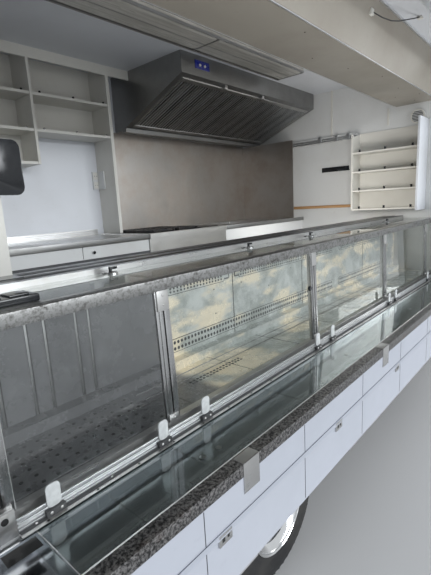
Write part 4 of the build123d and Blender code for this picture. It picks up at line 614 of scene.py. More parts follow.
ledge_edge = Finish("mottled_ledge", "steel", metallic=1.0)
crust = ledge_edge.noise(120.0, detail=6.0, rough=0.75)
rust = ledge_edge.noise(9.0, detail=4.0)
dark = ledge_edge.mix(ledge_edge.band(crust, 0.4, 0.62), (0.05, 0.05, 0.051), (0.36, 0.35, 0.345))
rusty = ledge_edge.band(rust, 0.60, 0.80) * 0.35
ledge_edge.feed("Base Color", ledge_edge.mix(rusty, dark, (0.26, 0.14, 0.10)))
ledge_edge.feed("Roughness", ledge_edge.band(crust, 0.3, 0.7, 0.3, 0.55))
ledge_edge.bump(crust, 0.5, 0.001)
print("steel:", len(STEELS) + 4, "finishes")

# %% [markdown]
# ## Glass
# A thin pane mostly lets light straight through, and mirrors more at a flat angle. A
# Mix Shader driven by Fresnel says just that: clear in the middle, mirror at a graze.
# Only the face towards the eye mirrors, because Fresnel would make the far face of a
# closed pane a full mirror.

# %% Clear, tinted and opal panes
def pane_finish(name, slot, tint, mirror_gain, mirror_base, haze=0.03):
    """A thin pane: a clear shader mixed with a mirror by the viewing angle."""
    made = Finish(name, slot, base_color=(0.92, 0.95, 0.94), metallic=1.0)
    smudge = made.noise(6.0, detail=6.0, rough=0.7)
    made.feed("Roughness", made.band(smudge, 0.45, 0.8, 0.015, haze))
    clear = made.node("ShaderNodeBsdfTransparent", {}, {"Color": tint})
    fresnel = made.node("ShaderNodeFresnel", {}, {"IOR": 1.5})
    share = fresnel * mirror_gain + (made.band(smudge, 0.4, 0.8) * 0.04 + mirror_base)
    share = share * (1.0 - made.node("ShaderNodeNewGeometry", output="Backfacing"))
    blend = made.node("ShaderNodeMixShader", {}, {0: share, 1: clear})
    made.tree.links.new(made.shader.outputs["BSDF"], blend.socket.node.inputs[2])
    made.put(made.tree.nodes["Material Output"].inputs["Surface"], blend)
    return made


PANES = (
    # name, slot, tint, mirror gain, least mirror, haze
    ("case_glass", "case_glass", (0.965, 0.97, 0.97), 1.25, 0.03),
    ("top_glass", "case_glass", (0.70, 0.71, 0.69), 0.85, 0.03),
    ("shelf_glass", "case_glass", (0.78, 0.80, 0.79), 1.3, 0.05),
    ("window_glass", "window_glass", (0.72, 0.77, 0.76), 1.2, 0.04),
    ("lamp_glass", "lamp", (0.90, 0.92, 0.94), 1.3, 0.08, 0.06),
)
(case_glass, top_glass, shelf_glass, window_glass, lamp_glass) = (pane_finish(*row) for row in PANES)

opal = Finish("opal_cover", "light_diffuser", coat_weight=0.3)
haze = opal.noise(7.0, (0.4, 6.0, 6.0), detail=4.0)
opal.feed("Base Color", opal.mix(opal.band(haze, 0.35, 0.7), (0.46, 0.45, 0.42), (0.33, 0.32, 0.29)))
opal.feed("Roughness", opal.band(haze, 0.3, 0.7, 0.25, 0.42))


def signal_finish(name, slot, colour, rough=0.25):
    """A coloured lens or small coloured part with a faint moulded pattern."""
    made = Finish(name, slot, coat_weight=0.5, coat_roughness=0.1)
    ribs = made.noise(60.0, (1.0, 6.0, 1.0), detail=2.0)
    deep = tuple(0.86 * part for part in colour)
    made.feed("Base Color", made.mix(made.band(ribs, 0.35, 0.65), colour, deep))
    made.feed("Roughness", made.band(ribs, 0.3, 0.7, rough, rough + 0.1))
    return made


SIGNALS = (
    # name, slot, colour, roughness
    ("lens_red", "lamp", (0.42, 0.02, 0.02)),
    ("lens_amber", "lamp", (0.75, 0.26, 0.03)),
    ("switch_blue", "steel", (0.02, 0.03, 0.26)),
    ("beech_strip", "inner_white", (0.52, 0.30, 0.14), 0.5),
    # The near-black finish serves real holes, slots and joints, and also painted shadow strips.
    ("hole_dark", "chassis_black", (0.006, 0.006, 0.006), 0.8),
    ("clip_grey", "case_glass", (0.62, 0.64, 0.64), 0.3),
)
(lens_red, lens_amber, switch_blue, beech, hole_dark, clip_grey) = (signal_finish(*row) for row in SIGNALS)
plate_blank = panel_finish("blank_plate", "body_white", (0.60, 0.60, 0.57), (0.54, 0.54, 0.50), 0.4)
print("glass, lenses and small colours ready")

# %% [markdown]
# ## Finishes for the CAD nodes
# A CAD shape that is already right keeps its mesh and only gets a finish.

# %% Dress the CAD nodes
NODE_FINISH = {
    chassis_black: ["chassis_frame", "water_tank", "strut_tube_rear", "strut_tube_front"],
    iron: ["engine_block", "front_axle", "rear_axle", "knuckle_left", "knuckle_right"],
    floor_grey: ["body_floor"],
    outer_white: ["left_wall", "rear_wall", "rear_door", "roof", "serving_flap"],
    skirt_white: ["side_skirt"],
    board_white: ["front_wall", "rear_counter", "wall_fittings", "drawer_rear", "drawer_front"],
    shelf_white: ["shelf_unit", "plate_rack"],
    beam_cream: ["ceiling_beam"],
    rail_alloy: ["side_frame", "strut_rod_rear", "strut_rod_front"],
    tray_steel: ["ledge_tray"],
    steel: ["case_cabinet", "worktop", "case_frame"],
    hob: ["stove"],
    deck_steel: ["case_ducts"],
    splash_steel: ["splash_panels"],
    hood_steel: ["hood"],
    gloss_black: ["order_screen"],
    case_glass: ["case_glass"],
    top_glass: ["case_top"],
    shelf_glass: ["glass_shelf"],
    window_glass: ["windscreen", "door_glass_left", "door_glass_right"],
    opal: ["ceiling_light"],
    cab_white: ["cab_shell", "cab_door_left", "cab_door_right", "bonnet", "wings"],
    trim_black: ["grille", "bumpers"],
    lamp_glass: ["lamps"],
    seat_cloth: ["seats"],
    dash_grey: ["dashboard"],
    tyre_black: ["wheel_rear_left", "wheel_rear_right", "wheel_front_left", "wheel_front_right"],
}
for finish, names in NODE_FINISH.items():
    for name in names:
        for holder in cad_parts[name].material_slots:
            holder.material = finish.material
print("dressed", sum(len(names) for names in NODE_FINISH.values()), "of", len(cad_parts), "nodes")

# %% [markdown]
# ## The display case
# The case's glass leans back a little, so whatever is clamped on it leans too. We add
# the ribbed rail, the clamp posts, the clips that hold the loose panes, and the worn
# steel nosing along the top edge.

# %% Case rails, posts and clips
GLASS_FRONT = reach("case_glass")[1][0]
GLASS_LEAN = 16
CLAMP_POSTS = (-1043, -467, 574, 1630, 2665)
CLIPS = (-932, -552, -347, 519, 690, 1600, 1740, 2590, 2770)
RAIL_START = -1026
KNOB_Z = 1215
QUARTER = math.pi / 2


def glass_face(z):
    """The Y of the case glass's outer face at a height."""
    return GLASS_FRONT + GLASS_LEAN * (z - GLASS_LOW) / (GLASS_HIGH - GLASS_LOW)


def on_glass(x, z, out, soft=1):
    """A prism row for a plate, `out` thick, that lies on the leaning glass."""
    low, high = glass_face(z[0]), glass_face(z[1])
    return [(low + 0.5, z[0]), (low - out, z[0]), (high - out, z[1]), (high + 0.5, z[1])], "x", x, soft


def rounded(x, z, radius, steps=4):
    """The outline of a plate with round corners."""
    centres = ((x[1] - radius, z[1] - radius), (x[0] + radius, z[1] - radius),
               (x[0] + radius, z[0] + radius), (x[1] - radius, z[0] + radius))
    angles = [[QUARTER * (turn + step / steps) for step in range(steps + 1)] for turn in range(4)]
    return [(cx + radius * math.cos(angle), cz + radius * math.sin(angle))
            for (cx, cz), corner in zip(centres, angles) for angle in corner]


def screws(name, finish, places, size, axis="y"):
    """Round screw heads on faces that look along Y or Z."""
    form = (size, 0.45 * size, size) if axis == "y" else (size, size, 0.45 * size)
    return repeated(name, finish, [run("dome", place, form) for place in places])


RAIL_RIBS = ((903, 909, 6), (911, 917, 3.5), (919, 925, 6), (927, 936.5, 3.5))
RAIL_X = (RAIL_START, CASE_X[1])
made_of("slab", "case_bottom_rail", rail_alloy, [
    (RAIL_X, (CASE_FRONT - out, CASE_FRONT + 0.5), (low, high), 0.8) for low, high, out in RAIL_RIBS])
made_of("slab", "case_step_strip", trim_black, [(RAIL_X, (CASE_FRONT - 19, CASE_FRONT - 7), (901.5, 904))])
made_of("slab", "case_end_post", steel, [
    ((CASE_X[0] + 1, RAIL_START - 2), (CASE_FRONT - 9, CASE_FRONT + 0.5), (898, 972), 2),
    ((RAIL_START - 2, CASE_X[1]), (CASE_FRONT - 31, CASE_FRONT - 19), (900.5, 902.5))])
plug = Shape()
plug.bar((-1054, CASE_FRONT - 11, 953), (-1054, CASE_FRONT - 6, 953), 9, 20, 1)
plug.slab((CASE_X[0], -1003), (-1030, CASE_FRONT - 40), (LEDGE - 0.5, LEDGE + 0.6))
plug.piece("dark_openings", hole_dark)

POST_Z = (GLASS_LOW + 1, GLASS_HIGH - 2)
BRACKETS = ((25, (GLASS_HIGH - 76, GLASS_HIGH - 4), 12), (22, (GLASS_LOW + 2, GLASS_LOW + 26), 11))
made_of("prism", "clamp_strips", clamp_steel, [
    on_glass((x + wide * near, x + wide * far), POST_Z, out, soft) for x in CLAMP_POSTS
    for near, far in ((-30, -5), (5, 30)) for wide, out, soft in ((1, 6, 2), (0.6, 9, 1))])
made_of("prism", "clamp_gaps", hole_dark, [on_glass(span(x, 5), POST_Z, 3, 0) for x in CLAMP_POSTS])
made_of("prism", "clamp_brackets", steel, [
    on_glass(span(x, half), heights, out, 2) for x in CLAMP_POSTS
    for half, heights, out in BRACKETS])
made_of("prism", "pane_clips", clip_grey, [
    (rounded(span(x, 20), (921, 986), 13), "y", (CASE_FRONT - 11, CASE_FRONT - 6), 1) for x in CLIPS])
made_of("slab", "clip_feet", trim_black, [
    (span(x, 27), (CASE_FRONT - 19, CASE_FRONT - 4), (904, 920), 2) for x in CLIPS])
heads = [(x + side, CASE_FRONT - 19, 912) for x in CLIPS for side in (-14, 14)]
heads += [(x, CASE_FRONT - 13, 904) for x in (-985, -760)]
heads += [(x, glass_face(z) - 12, z) for x in CLAMP_POSTS for z in (951, GLASS_HIGH - 56, GLASS_HIGH - 24)]
screws("case_screws", steel, heads, 9)
screws("step_screws", hole_dark, [(x, CASE_FRONT - 25, 902.5) for x in range(-960, 2900, 145)], 8, "z")
made_of("bar", "pane_knob", gloss_black, [
    ((534, glass_face(KNOB_Z) - 9, KNOB_Z), (534, glass_face(KNOB_Z) + 1, KNOB_Z), 13, 20, 2)])
print("case front dressed with", len(CLIPS), "clips and", len(CLAMP_POSTS), "posts")

# %% [markdown]
# The case's top is a run of dark glass between the worn nosing and a broad ribbed rail.
# Small catches stand on it, and a switch box lies at its rear end.

# %% Case top
made_of("slab", "case_nosing", worn_edge, [
    (CASE_X, (CASE_FRONT + 12, CASE_FRONT + 49), (GLASS_HIGH - 1, CASE_TOP_FACE + 2), 1.2)])
RAIL_FRONT = CASE_REAR - 190
made_of("slab", "top_rail_grooves", hole_dark, [
    ((CASE_X[0] + 3, CASE_X[1] - 3), (RAIL_FRONT + 3, CASE_REAR - 3), (CASE_TOP - 2, CASE_TOP + 0.6))])
TOP_RIBS = ((1, 16, 4), (20, 78, 3), (83, 97, 4.5), (101, 168, 3), (173, 189, 4))
made_of("slab", "top_rail_ribs", dull_alloy, [
    ((CASE_X[0] + 1, CASE_X[1] - 1), (RAIL_FRONT + near, RAIL_FRONT + far),
     (CASE_TOP - 2, CASE_TOP + rise), 1.2)
    for near, far, rise in TOP_RIBS])

CATCH_RING = [(13, -1), (20, -1), (20, 5), (18, 7), (15, 7), (13, 5)]
rings, knobs = Shape(), Shape()
for x in (-486, 348, 995, 2369):
    rings.turned((x, -666, CASE_TOP_FACE), (0, 0, 1), CATCH_RING)
    rings.slab((x - 22, x + 30), (-640, -628), (CASE_TOP_FACE, CASE_TOP_FACE + 5), 1.5)
    knobs.bar((x - 6, -664, CASE_TOP_FACE), (x - 6, -664, CASE_TOP_FACE + 26), 6, 14, 1)
    knobs.slab((x - 12, x + 20), (-670, -660), (CASE_TOP_FACE + 16, CASE_TOP_FACE + 25), 2)
rings.piece("catch_rings", clamp_steel)
knobs.piece("catch_knobs", gloss_black)
keys = [(span(x, 26), (-848, -786), (CASE_TOP_FACE + 18, CASE_TOP_FACE + 25), 4)
        for x in (-1040, -968, -896)]
made_of("slab", "switch_box", gloss_black, [
    ((-1070, -850), (-862, -768), (CASE_TOP_FACE, CASE_TOP_FACE + 20), 5), *keys])
print("case top dressed")

# %% [markdown]
# Cold air leaves the case through punched strips in its back panel, and meltwater
# drains through rows of holes in its deck. Each strip is one row of a repeat table.

# %% Punched strips and deck holes
PANEL = reach("case_ducts")[1][1] - 3
DECK = GLASS_LOW - 8
FACING = (QUARTER, 0, 0)
STRIPS = [
    # first X, last X, pitch, top row Z, row drop, hole width, hole height
    (-101, 267, 22.5, 1298, 15, 11, 10.5),
    (428, 1560, 22.5, 1298, 15, 11, 10.5),
    (-122, 1560, 23.5, 1040, 30, 15, 17),
    (1700, 2590, 22.5, 1298, 15, 11, 10.5),
    (1700, 2590, 23.5, 1040, 30, 15, 17),
]
SCREW_SPOTS = ((200, 1240), (205, 1112), (430, 1238), (700, 1170), (960, 1240), (1300, 1170))


def on_panel(x, z, radius, out):
    """A prism row for a round-cornered plate on the case's back panel."""
    return rounded(x, z, radius), "y", (PANEL - out, PANEL + 0.5)


plates, shade_rims, holes = [], [], []
for first, last, pitch, top, drop, wide, tall in STRIPS:
    rim = 0.5 * tall + 7
    plates.append(on_panel((first - 18, last + 18), (top - drop - rim, top + rim), 12, 1.8))
    shade_rims.append(on_panel((first - 21, last + 21), (top - drop - rim - 3, top + rim + 3), 15, 0.8))
    holes.append(run("disc", (first, PANEL - 2, top), (wide, tall, 1.2), int((last - first) / pitch) + 1,
                     (pitch, 0, 0), 2, (0, 0, -drop), FACING))
for middle in (303, 393):
    shade_rims.append(on_panel(span(middle, 24), (1278, 1308), 9, 0.8))
    plates.append(on_panel(span(middle, 17), (1285, 1301), 5, 1.8))
holes.append(run("disc", (-200, -752, DECK + 0.6), (14, 11, 1.2), 16, (22, 0, 0), 2, (0, 19, 0)))
holes.append(run("disc", (-1040, -850, DECK + 0.6), (12, 12, 1.2), 14, (44, 0, 0), 7, (0, 44, 0)))
holes += [run("disc", (x, PANEL - 0.5, z), (8, 8, 1.2), turn=FACING) for x, z in SCREW_SPOTS]
# Painted shadow: a dark plate a little larger than each strip lies under it, as the shade line round its
# raised edge.
made_of("prism", "strip_shade_rims", hole_dark, shade_rims)
made_of("prism", "punched_strips", deck_steel, plates)
repeated("punched_holes", hole_dark, holes)

PANEL_Z, FOLD_Z = (972, 1329), (972, 1326)
FOLDS = (-945, -880, -770, -705, -585, -530)
made_of("slab", "case_seams", hole_dark, [
    *((span(x, 1.3), (PANEL - 2.6, PANEL), PANEL_Z) for x in (354, 1102, 2150)),
    *((span(x, 1.2), (CASE_FRONT + 32, PANEL - 56), (DECK, DECK + 0.7))
      for x in (-330, 60, 470, 905, 1290, 1900, 2400))])
made_of("slab", "case_folds", hood_steel, [
    *((span(x, 4), (PANEL - 3, PANEL), FOLD_Z, 0.8) for x in FOLDS),
    *(((-420, 2900), span(y, 2), (DECK, DECK + 2.5), 0.6) for y in (-640, -700))])
# Painted shadow: a thin dark strip beside each fold stands in for the shade it casts.
made_of("slab", "fold_shadow_lines", hole_dark, [((x + 5, x + 9), (PANEL - 0.6, PANEL), FOLD_Z) for x in FOLDS])
print("punched strips:", len(STRIPS))

# %% [markdown]
# ## The serving ledge and skirt
# The ledge's outer lip is old, mottled steel with a bright bead on its inner side. Below
# it the white skirt is made of loose panels with catches, clips and a hinge seam.

# %% Ledge and skirt
LEDGE_X = reach("ledge_tray")[0]
TRAY = 862
made_of("prism", "ledge_lip", ledge_edge, [
    ([(SIDE - 1.5, 856), (SIDE - 1.5, LEDGE + 1.5), (SIDE + 44, LEDGE + 1.5), (SIDE + 44, LEDGE - 0.4),
      (SIDE + 0.4, LEDGE - 0.4), (SIDE + 0.4, 856)], "x", LEDGE_X, 0.5)])
bead = Shape()
bead.bar((LEDGE_X[0], SIDE + 46, LEDGE + 0.5), (LEDGE_X[1], SIDE + 46, LEDGE + 0.5), 2.4, 8)
bead.bar((-960, -950, LEDGE + 0.5), (2900, -950, LEDGE + 0.5), 1.6, 8)
bead.bar((-993, SIDE + 50, LEDGE + 0.3), (-993, -952, LEDGE + 0.3), 1.6, 8)
for x in (-781, -507, -146):
    bead.slab(span(x, 1.5), (-1165, -955), (TRAY - 1, TRAY + 1.2))
bead.piece("ledge_beads", trim_steel)
STAMPINGS = ((-486, -1064), (-415, -1070), (620, -1068), (1700, -1068))
repeated("tray_stampings", steel, [run("dome", (x, y, TRAY), (24, 24, 5)) for x, y in STAMPINGS])

SKIRT_X = (REAR + 60, FRONT - 60)
CATCHES, CLIP_STARTS = (-480, 703, 1886), (-608, 147, 902, 1657, 2412)
made_of("slab", "skirt_joints", hole_dark, [
    *((span(-658 + 550 * index, 1.2), (SIDE - 0.7, SIDE + 1), (548, 852)) for index in range(7)),
    *((SKIRT_X, (SIDE - 0.9, SIDE + 1), heights) for heights in ((738.5, 741), (727, 729.5)))])
CATCH_FOLDS = (((SIDE - 3, SIDE), (797, LEDGE + 4)), ((SIDE - 3, SIDE + 38), (LEDGE + 1, LEDGE + 4)))
catches = [((start, start + 80), *fold, 1) for start in CATCHES for fold in CATCH_FOLDS]
catches += [((start, start + 58), (SIDE - 6, SIDE), (701, 737), 1.5) for start in CLIP_STARTS]
made_of("slab", "skirt_catches", steel, catches)
made_of("slab", "clip_slots", hole_dark, [
    ((start + near, start + far), (SIDE - 7, SIDE - 5), heights, 1) for start in CLIP_STARTS
    for near, far, heights in ((12, 24, (712, 726)), (36, 44, (714, 724)))])
print("ledge and skirt dressed")

# %% [markdown]
# ## The back counter
# The worktop's steel folds down over its front edge. The drawers have black locks, and
# the order screen stands on a white post with its plugs behind it.

# %% Worktop, drawers and order screen
COUNTER_FRONT = reach("worktop")[1][0]
CABINET_FRONT = reach("rear_counter")[1][0]
WORK_Z, LOCK_Z = 1474, 1399
# Painted shade: the folded front edge is given the darker hood steel.
made_of("slab", "shaded_worktop_edge", hood_steel, [
    (x, (COUNTER_FRONT - 1.5, COUNTER_FRONT + 1), (WORK_Z - 31, WORK_Z + 6), 0.5)
    for x in ((-1490, 662), (1568, END_FACE - 1))])
made_of("slab", "upstand_ribs", rail_alloy, [
    ((-1488, 661), (1172, 1175), (z, z + 7), 0.8) for z in (1480, 1492, 1504)])
made_of("prism", "worktop_slot", hole_dark, [
    (rounded((-470, -150), (560, 592), 14), "z", (WORK_Z, WORK_Z + 0.9))])
for body, x in (("drawer_rear", -404), ("drawer_front", 178.5)):
    face = reach(body)[1][0]
    ends = ((x, face - 4, LOCK_Z), (x, face + 1, LOCK_Z))
    made_of("bar", body + "_lock", gloss_black, [(*ends, 11, 20, 1.5)], body)
made_of("slab", "counter_band", dash_grey, [
    ((-1486, 664), (CABINET_FRONT - 0.8, CABINET_FRONT + 1), (1340, 1357))])

made_of("slab", "screen_stand", shelf_white, [((-921.5, -754.5), (-472.5, -462.5), (1466, 1794), 1.5)])
made_of("slab", "screen_plugs", trim_black, [
    (span(x, 9), (-497, -478), (1718, 1735), 2) for x in (-905, -860, -820, -786)])
made_of("prism", "screen_bezel", gloss_black, [
    (rounded((-991, -683), (1732, 1910), 27, 8), "y", (-501, -495), 1.5)])
print("back counter dressed")

# %% [markdown]
# ## The hood, ceiling and shelves
# Bright steel blades hang in the hood's sloping mouth in four banks. The screws, pegs
# and battens around it are small, but they are what makes the kitchen look used.

# %% Hood
HOOD_X, HOOD_Y, HOOD_Z = reach("hood")
SLOPE_RUN, SLOPE_FALL, SLOPE_TOP = 755, 293, 2623
SLOPE = -math.atan2(SLOPE_FALL, SLOPE_RUN)
BANKS, BLADES = 4, 15
BANK = (HOOD_X[1] - HOOD_X[0] - 120) / BANKS
BANK_STARTS = [HOOD_X[0] + 60 + index * BANK for index in range(BANKS + 1)]


def on_slope(share, below=0):
    """The (y, z) point a share of the way down the hood's slope."""
    return (HOOD_Y[0] + share * SLOPE_RUN, SLOPE_TOP - share * SLOPE_FALL - below)


def frame_bar(near, far, depth, x):
    """A prism row for a bar that lies in the slope from one share of it to another."""
    (y0, z0), (y1, z1) = on_slope(near), on_slope(far)
    return [(y0, z0 + 2), (y0, z0 - depth), (y1, z1 - depth), (y1, z1 + 2)], "x", x, 1


middle = on_slope(0.48, 3)
blade_step = ((BANK - 52) / (BLADES - 1), 0, 0)
repeated("hood_blades", rail_alloy, [
    run("block", (start + 26, *middle), (11, 596, 5), BLADES, blade_step, turn=(SLOPE, 0, 0))
    for start in BANK_STARTS[:BANKS]])
frames = Shape()
for near, far in ((0.055, 0.10), (0.86, 0.90)):
    frames.prism(*frame_bar(near, far, 8, (HOOD_X[0] + 50, HOOD_X[1] - 50)))
for x in BANK_STARTS:
    frames.prism(*frame_bar(0.09, 0.87, 7, span(x, 9)))
y, z = on_slope(0.03)
for x in (1479, 2008):
    frames.slab(span(x, 16), (y - 14, y + 12), (z - 26, z + 6), 2)
frames.piece("filter_frames", steel)
made_of("slab", "hood_switch_plate", switch_blue, [
    ((1103, 1262), (HOOD_Y[0] - 4, HOOD_Y[0] + 0.5), (2676, 2736), 1.5)])
made_of("bar", "hood_buttons", shelf_white, [
    ((x, HOOD_Y[0] - 12, 2702), (x, HOOD_Y[0] - 3, 2702), 10, 18, 1.5) for x in (1152, 1206)])
repeated("gutter_dots", trim_steel, [
    run("dome", (HOOD_X[0] + 80, HOOD_Y[0] + SLOPE_RUN - 22, HOOD_Z[0]), (9, 9, 4), 60, (31, 0, 0))])
print("hood blades:", BLADES * BANKS)

# %% Ceiling, beam and light
INSIDE_X = (REAR_FACE + 1, END_FACE - 1)
BEAM_UNDER = 2490
BEAM_SCREWS = ((1450, -700), (1820, -790), (1510, -860), (2260, -760), (2560, -640), (2610, -820),
               (1080, -640), (700, -800), (2830, -720), (60, -700), (-500, -820))
CEILING_SCREWS = ((78, 746), (37, 282), (-620, 420), (-1100, 760))
screws("ceiling_screws", hole_dark, [(x, y, CEILING) for x, y in CEILING_SCREWS], 11, "z")
screws("beam_screws", hole_dark, [(x, y, BEAM_UNDER) for x, y in BEAM_SCREWS], 9, "z")
made_of("slab", "light_frame", hood_steel, [
    *(((-1249, 2058), (y, y + 6), (2728.5, 2746), 1) for y in (-41, 88, 215)),
    *(((x, x + 13), (-36, 216), (2728.5, 2740), 1.5) for x in (-1249, -150, 950, 2044))])
made_of("slab", "beam_edges", rail_alloy, [
    (INSIDE_X, (-870, -862), (2488, 2494), 2),
    (INSIDE_X, (-516, -510), (2487.5, 2496), 1.5),
    (INSIDE_X, (-962, -950), (2758, 2771), 2)])

ROUTE = [(1234, -934, 2690), (1300, -968, 2668), (1400, -985, 2672), (1490, -1000, 2690), (1600, -1022, 2722),
         (1700, -1040, 2752), (1748, -1046, 2768)]
CABLE_WIDTH = 0.007
length = sum((at(*b) - at(*a)).length for a, b in zip(ROUTE, ROUTE[1:]))
spline = bpy.data.curves.new("beam_cable", "CURVE")
spline.dimensions = "3D"
spline.bevel_depth = CABLE_WIDTH / 2
spline.bevel_resolution = 3
line = spline.splines.new("POLY")
line.points.add(len(ROUTE) - 1)
for point, place in zip(line.points, ROUTE):
    point.co = (*at(*place), 1)
cable = bpy.data.objects.new("beam_cable", spline)
bpy.context.collection.objects.link(cable)
cable.data.materials.append(trim_black.material)
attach(cable, "body")
tuple(at(*ROUTE[0]))
made_of("slab", "cable_clamps", shelf_white, [
    ((1210, 1250), (-940, -912), (2672, 2706), 3),
    ((1730, 1764), (-1060, -1030), (2756, 2771), 3)])
print("cable length", round(length, 3), "m")

# %% Shelves, rack and end wall
RACK_PITCH = 183
SOCKETS = (1884, 1958)
for name, finish, z in (("upper_pegs", hole_dark, 2496), ("lower_pegs", clamp_steel, 2254)):
    repeated(name, finish, [run("dome", (x, 966, z), (17, 17, 20)) for x in (-250, 61, 188, 444, 702)])
# Painted shadow: a thin dark strip along the top of the shelf unit stands in for the shade line under the
# ceiling.
made_of("slab", "header_shadow_strip", hole_dark, [
    ((REAR_FACE + 1, HOOD_X[0] - 1), (949, 951.5), (CEILING - 9, CEILING))])
made_of("bar", "rack_pegs", gloss_black, [
    ((2800, y, 1548 + index * RACK_PITCH), (2800, y, 1576 + index * RACK_PITCH), 10.5, 14, 2)
    for index in range(4) for y in (-728.5, -483, -237.5)])
made_of("prism", "socket_faces", shelf_white, [
    (rounded((679, 719), span(z, 27), 5), "y", (1172.5, 1177), 1) for z in SOCKETS])
repeated("socket_holes", hole_dark, [
    run("disc", (689, 1172.2, z), (6, 6, 1.2), 2, (20, 0, 0), turn=FACING) for z in SOCKETS])

made_of("slab", "end_wall_battens", shelf_white, [
    ((END_FACE - 9, END_FACE + 0.5), (131, 149), (2312, CEILING), 1.5),
    ((END_FACE - 9, END_FACE + 0.5), (-454, -436), (2336, 2489), 1.5),
    ((END_FACE - 11, END_FACE + 0.5), (-505, 330), (CEILING - 16, CEILING), 2)])
rack_low = reach("plate_rack")[0][0]
made_of("slab", "rack_side_cover", outer_white, [
    ((rack_low - 2, END_FACE - 1), (-808, -804.5), (1521, 2335), 1),
    ((rack_low - 3, rack_low + 1), (-807, -789), (1522, 2334), 1)])
made_of("slab", "wooden_strip", beech, [
    ((END_FACE - 24, END_FACE - 1), (-138, 604), (1590, 1597), 2),
    ((END_FACE - 24, END_FACE - 19.5), (-138, 604), (1567, 1597), 1.5)])
made_of("slab", "black_slot", gloss_black, [((END_FACE - 16, END_FACE), (-62, 250), (1951, 1999), 3)])
pipes = Shape()
for z in (2268, 2290):
    pipes.bar((END_FACE - 38, -135, z), (END_FACE - 38, 664, z), 7.5, 12)
for y in (-60, 70, 260, 640):
    pipes.slab((END_FACE - 50, END_FACE - 30), span(y, 15), (2256, 2318), 2.5)
pipes.piece("end_wall_pipes", rail_alloy)
repeated("vent_slots", hole_dark, [run("block", (END_FACE - 17, -712, 2332), (3, 92, 6), 7, (0, 0, 13.3))])
VENT_RING = [(52, -3), (63, -3), (63, 3), (60, 5), (54, 5), (52, 3)]
made_of("turned", "vent_ring", shelf_white, [((END_FACE - 17, -715, 2372), (1, 0, 0), VENT_RING, 32)])
print("end wall dressed")

# %% [markdown]
# ## Wheels
# Each wheel is turned about its own axle: a rubber tyre with tread blocks, a pressed
# steel rim with its nuts, and a bright trim ring. All of it rides on the wheel's own CAD
# body, so that it still spins.

# %% Tyres, rims and nuts
TYRE_R, RIM_R = 317, 186
# Each form is a closed outline of (radius, distance along the axle) points.
HALF_TYRE = [(RIM_R - 6, -76), (RIM_R + 6, -87), (RIM_R + 26, -90), (RIM_R + 31, -88), (RIM_R + 60, -92),
             (TYRE_R - 36, -89), (TYRE_R - 15, -80), (TYRE_R - 9, -68)]
TYRE_FORM = HALF_TYRE + [(radius, -height) for radius, height in reversed(HALF_TYRE)]
RIM_FORM = [(RIM_R - 7, -76), (RIM_R - 7, 74), (RIM_R + 4, 82), (RIM_R + 2, 90), (RIM_R - 8, 87),
            (RIM_R - 20, 70), (RIM_R - 30, 41), (128, 48), (104, 62), (82, 59), (66, 62), (60, 72),
            (34, 74), (34, 42), (60, 38), (128, 32), (RIM_R - 30, 26), (RIM_R - 22, -70)]
TRIM_FORM = [(152, 60), (166, 76), (187, 92), (190, 91), (188, 86), (170, 72), (154, 55)]
TREAD = ((-60, 26, 0.25), (-22, 30, -0.3), (22, 30, 0.3), (60, 26, -0.25))
NUT_CIRCLE = 84
for name in ("wheel_rear_left", "wheel_rear_right", "wheel_front_left", "wheel_front_right"):
    x, y = (sum(ends) / 2 for ends in reach(name)[:2])
    out = 1 if y > 0 else -1
    hub, axis = (x, y, TYRE_R), (0, out, 0)
    tyre = made_of("turned", name + "_tyre", tyre_black, [(hub, axis, TYRE_FORM, 72)], name)
    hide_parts(name)
    repeated(name + "_tread", tyre_black, [
        ring_run("block", (x, y + off, TYRE_R), (26, wide, 10), 54, TYRE_R - 5.8, 0.03 * index, slant)
        for index, (off, wide, slant) in enumerate(TREAD)], name)
    rim = Shape()
    rim.turned(hub, axis, RIM_FORM, 60)
    for angle in around(6):
        foot = Vector((x + NUT_CIRCLE * math.cos(angle), y + out * 55, TYRE_R + NUT_CIRCLE * math.sin(angle)))
        rim.bar(foot, foot + Vector((0, out * 20, 0)), 11.5, 6, 1.5)
    rim.bar((x, y + out * 60, TYRE_R), (x, y + out * 80, TYRE_R), 37, 32, 4)
    rim.piece(name + "_rim", rim_silver, name)
    made_of("turned", name + "_trim", chrome, [(hub, axis, TRIM_FORM, 72)], name)
    repeated(name + "_openings", hole_dark, [
        ring_run("dome", (x, y + out * 46, TYRE_R), (27, 7, 27), 12, 138, 0.2)], name)
print("4 wheels dressed")

# %% [markdown]
# ## The box body outside
# Aluminium angles cover the body's corners, a gutter runs under the roof, and thin joint
# strips part the wall panels. The flap's underside has a grid of stiffening ribs.

# %% Corners, gutters and wall joints
angles = Shape()
for x, inward in ((REAR, 1), (FRONT, -1)):
    outer, inner, far = x - 3 * inward, x + 0.5 * inward, x + 42 * inward
    angles.prism([(outer, LEFT + 3), (far, LEFT + 3), (far, LEFT - 0.5), (inner, LEFT - 0.5),
                  (inner, LEFT - 42), (outer, LEFT - 42)], "z", (FLOOR + 4, 2768), 1)
angles.slab((REAR - 3, FRONT + 3), (LEFT - 1, LEFT + 12), (2764, 2776), 2)
angles.slab((REAR - 4, REAR + 1), (SIDE + 40, LEFT), (2764, 2776), 1.5)
angles.slab((REAR + 30, FRONT - 30), (LEFT - 1, LEFT + 4), (604, 624), 1.5)
angles.piece("body_angles", rail_alloy)
made_of("slab", "wall_joint_strips", outer_white, [
    (span(REAR + index * (FRONT - REAR) / 5, 12), (LEFT - 0.5, LEFT + 1.6), (626, 2762), 0.7)
    for index in range(1, 5)])
made_of("slab", "rub_rail", trim_black, [((REAR + 30, FRONT - 30), (LEFT - 1, LEFT + 7), (562, 600), 3)])
made_of("slab", "side_markers", lens_amber, [
    (span(x, 45), (LEFT, LEFT + 10), (642, 672), 4) for x in (-1380, 620, 1800, 2880)])
print("body corners and joints dressed")

# %% Flap ribs
HINGE_Y, HINGE_Z = -1247, 2795
LIFT = math.radians(6.0)


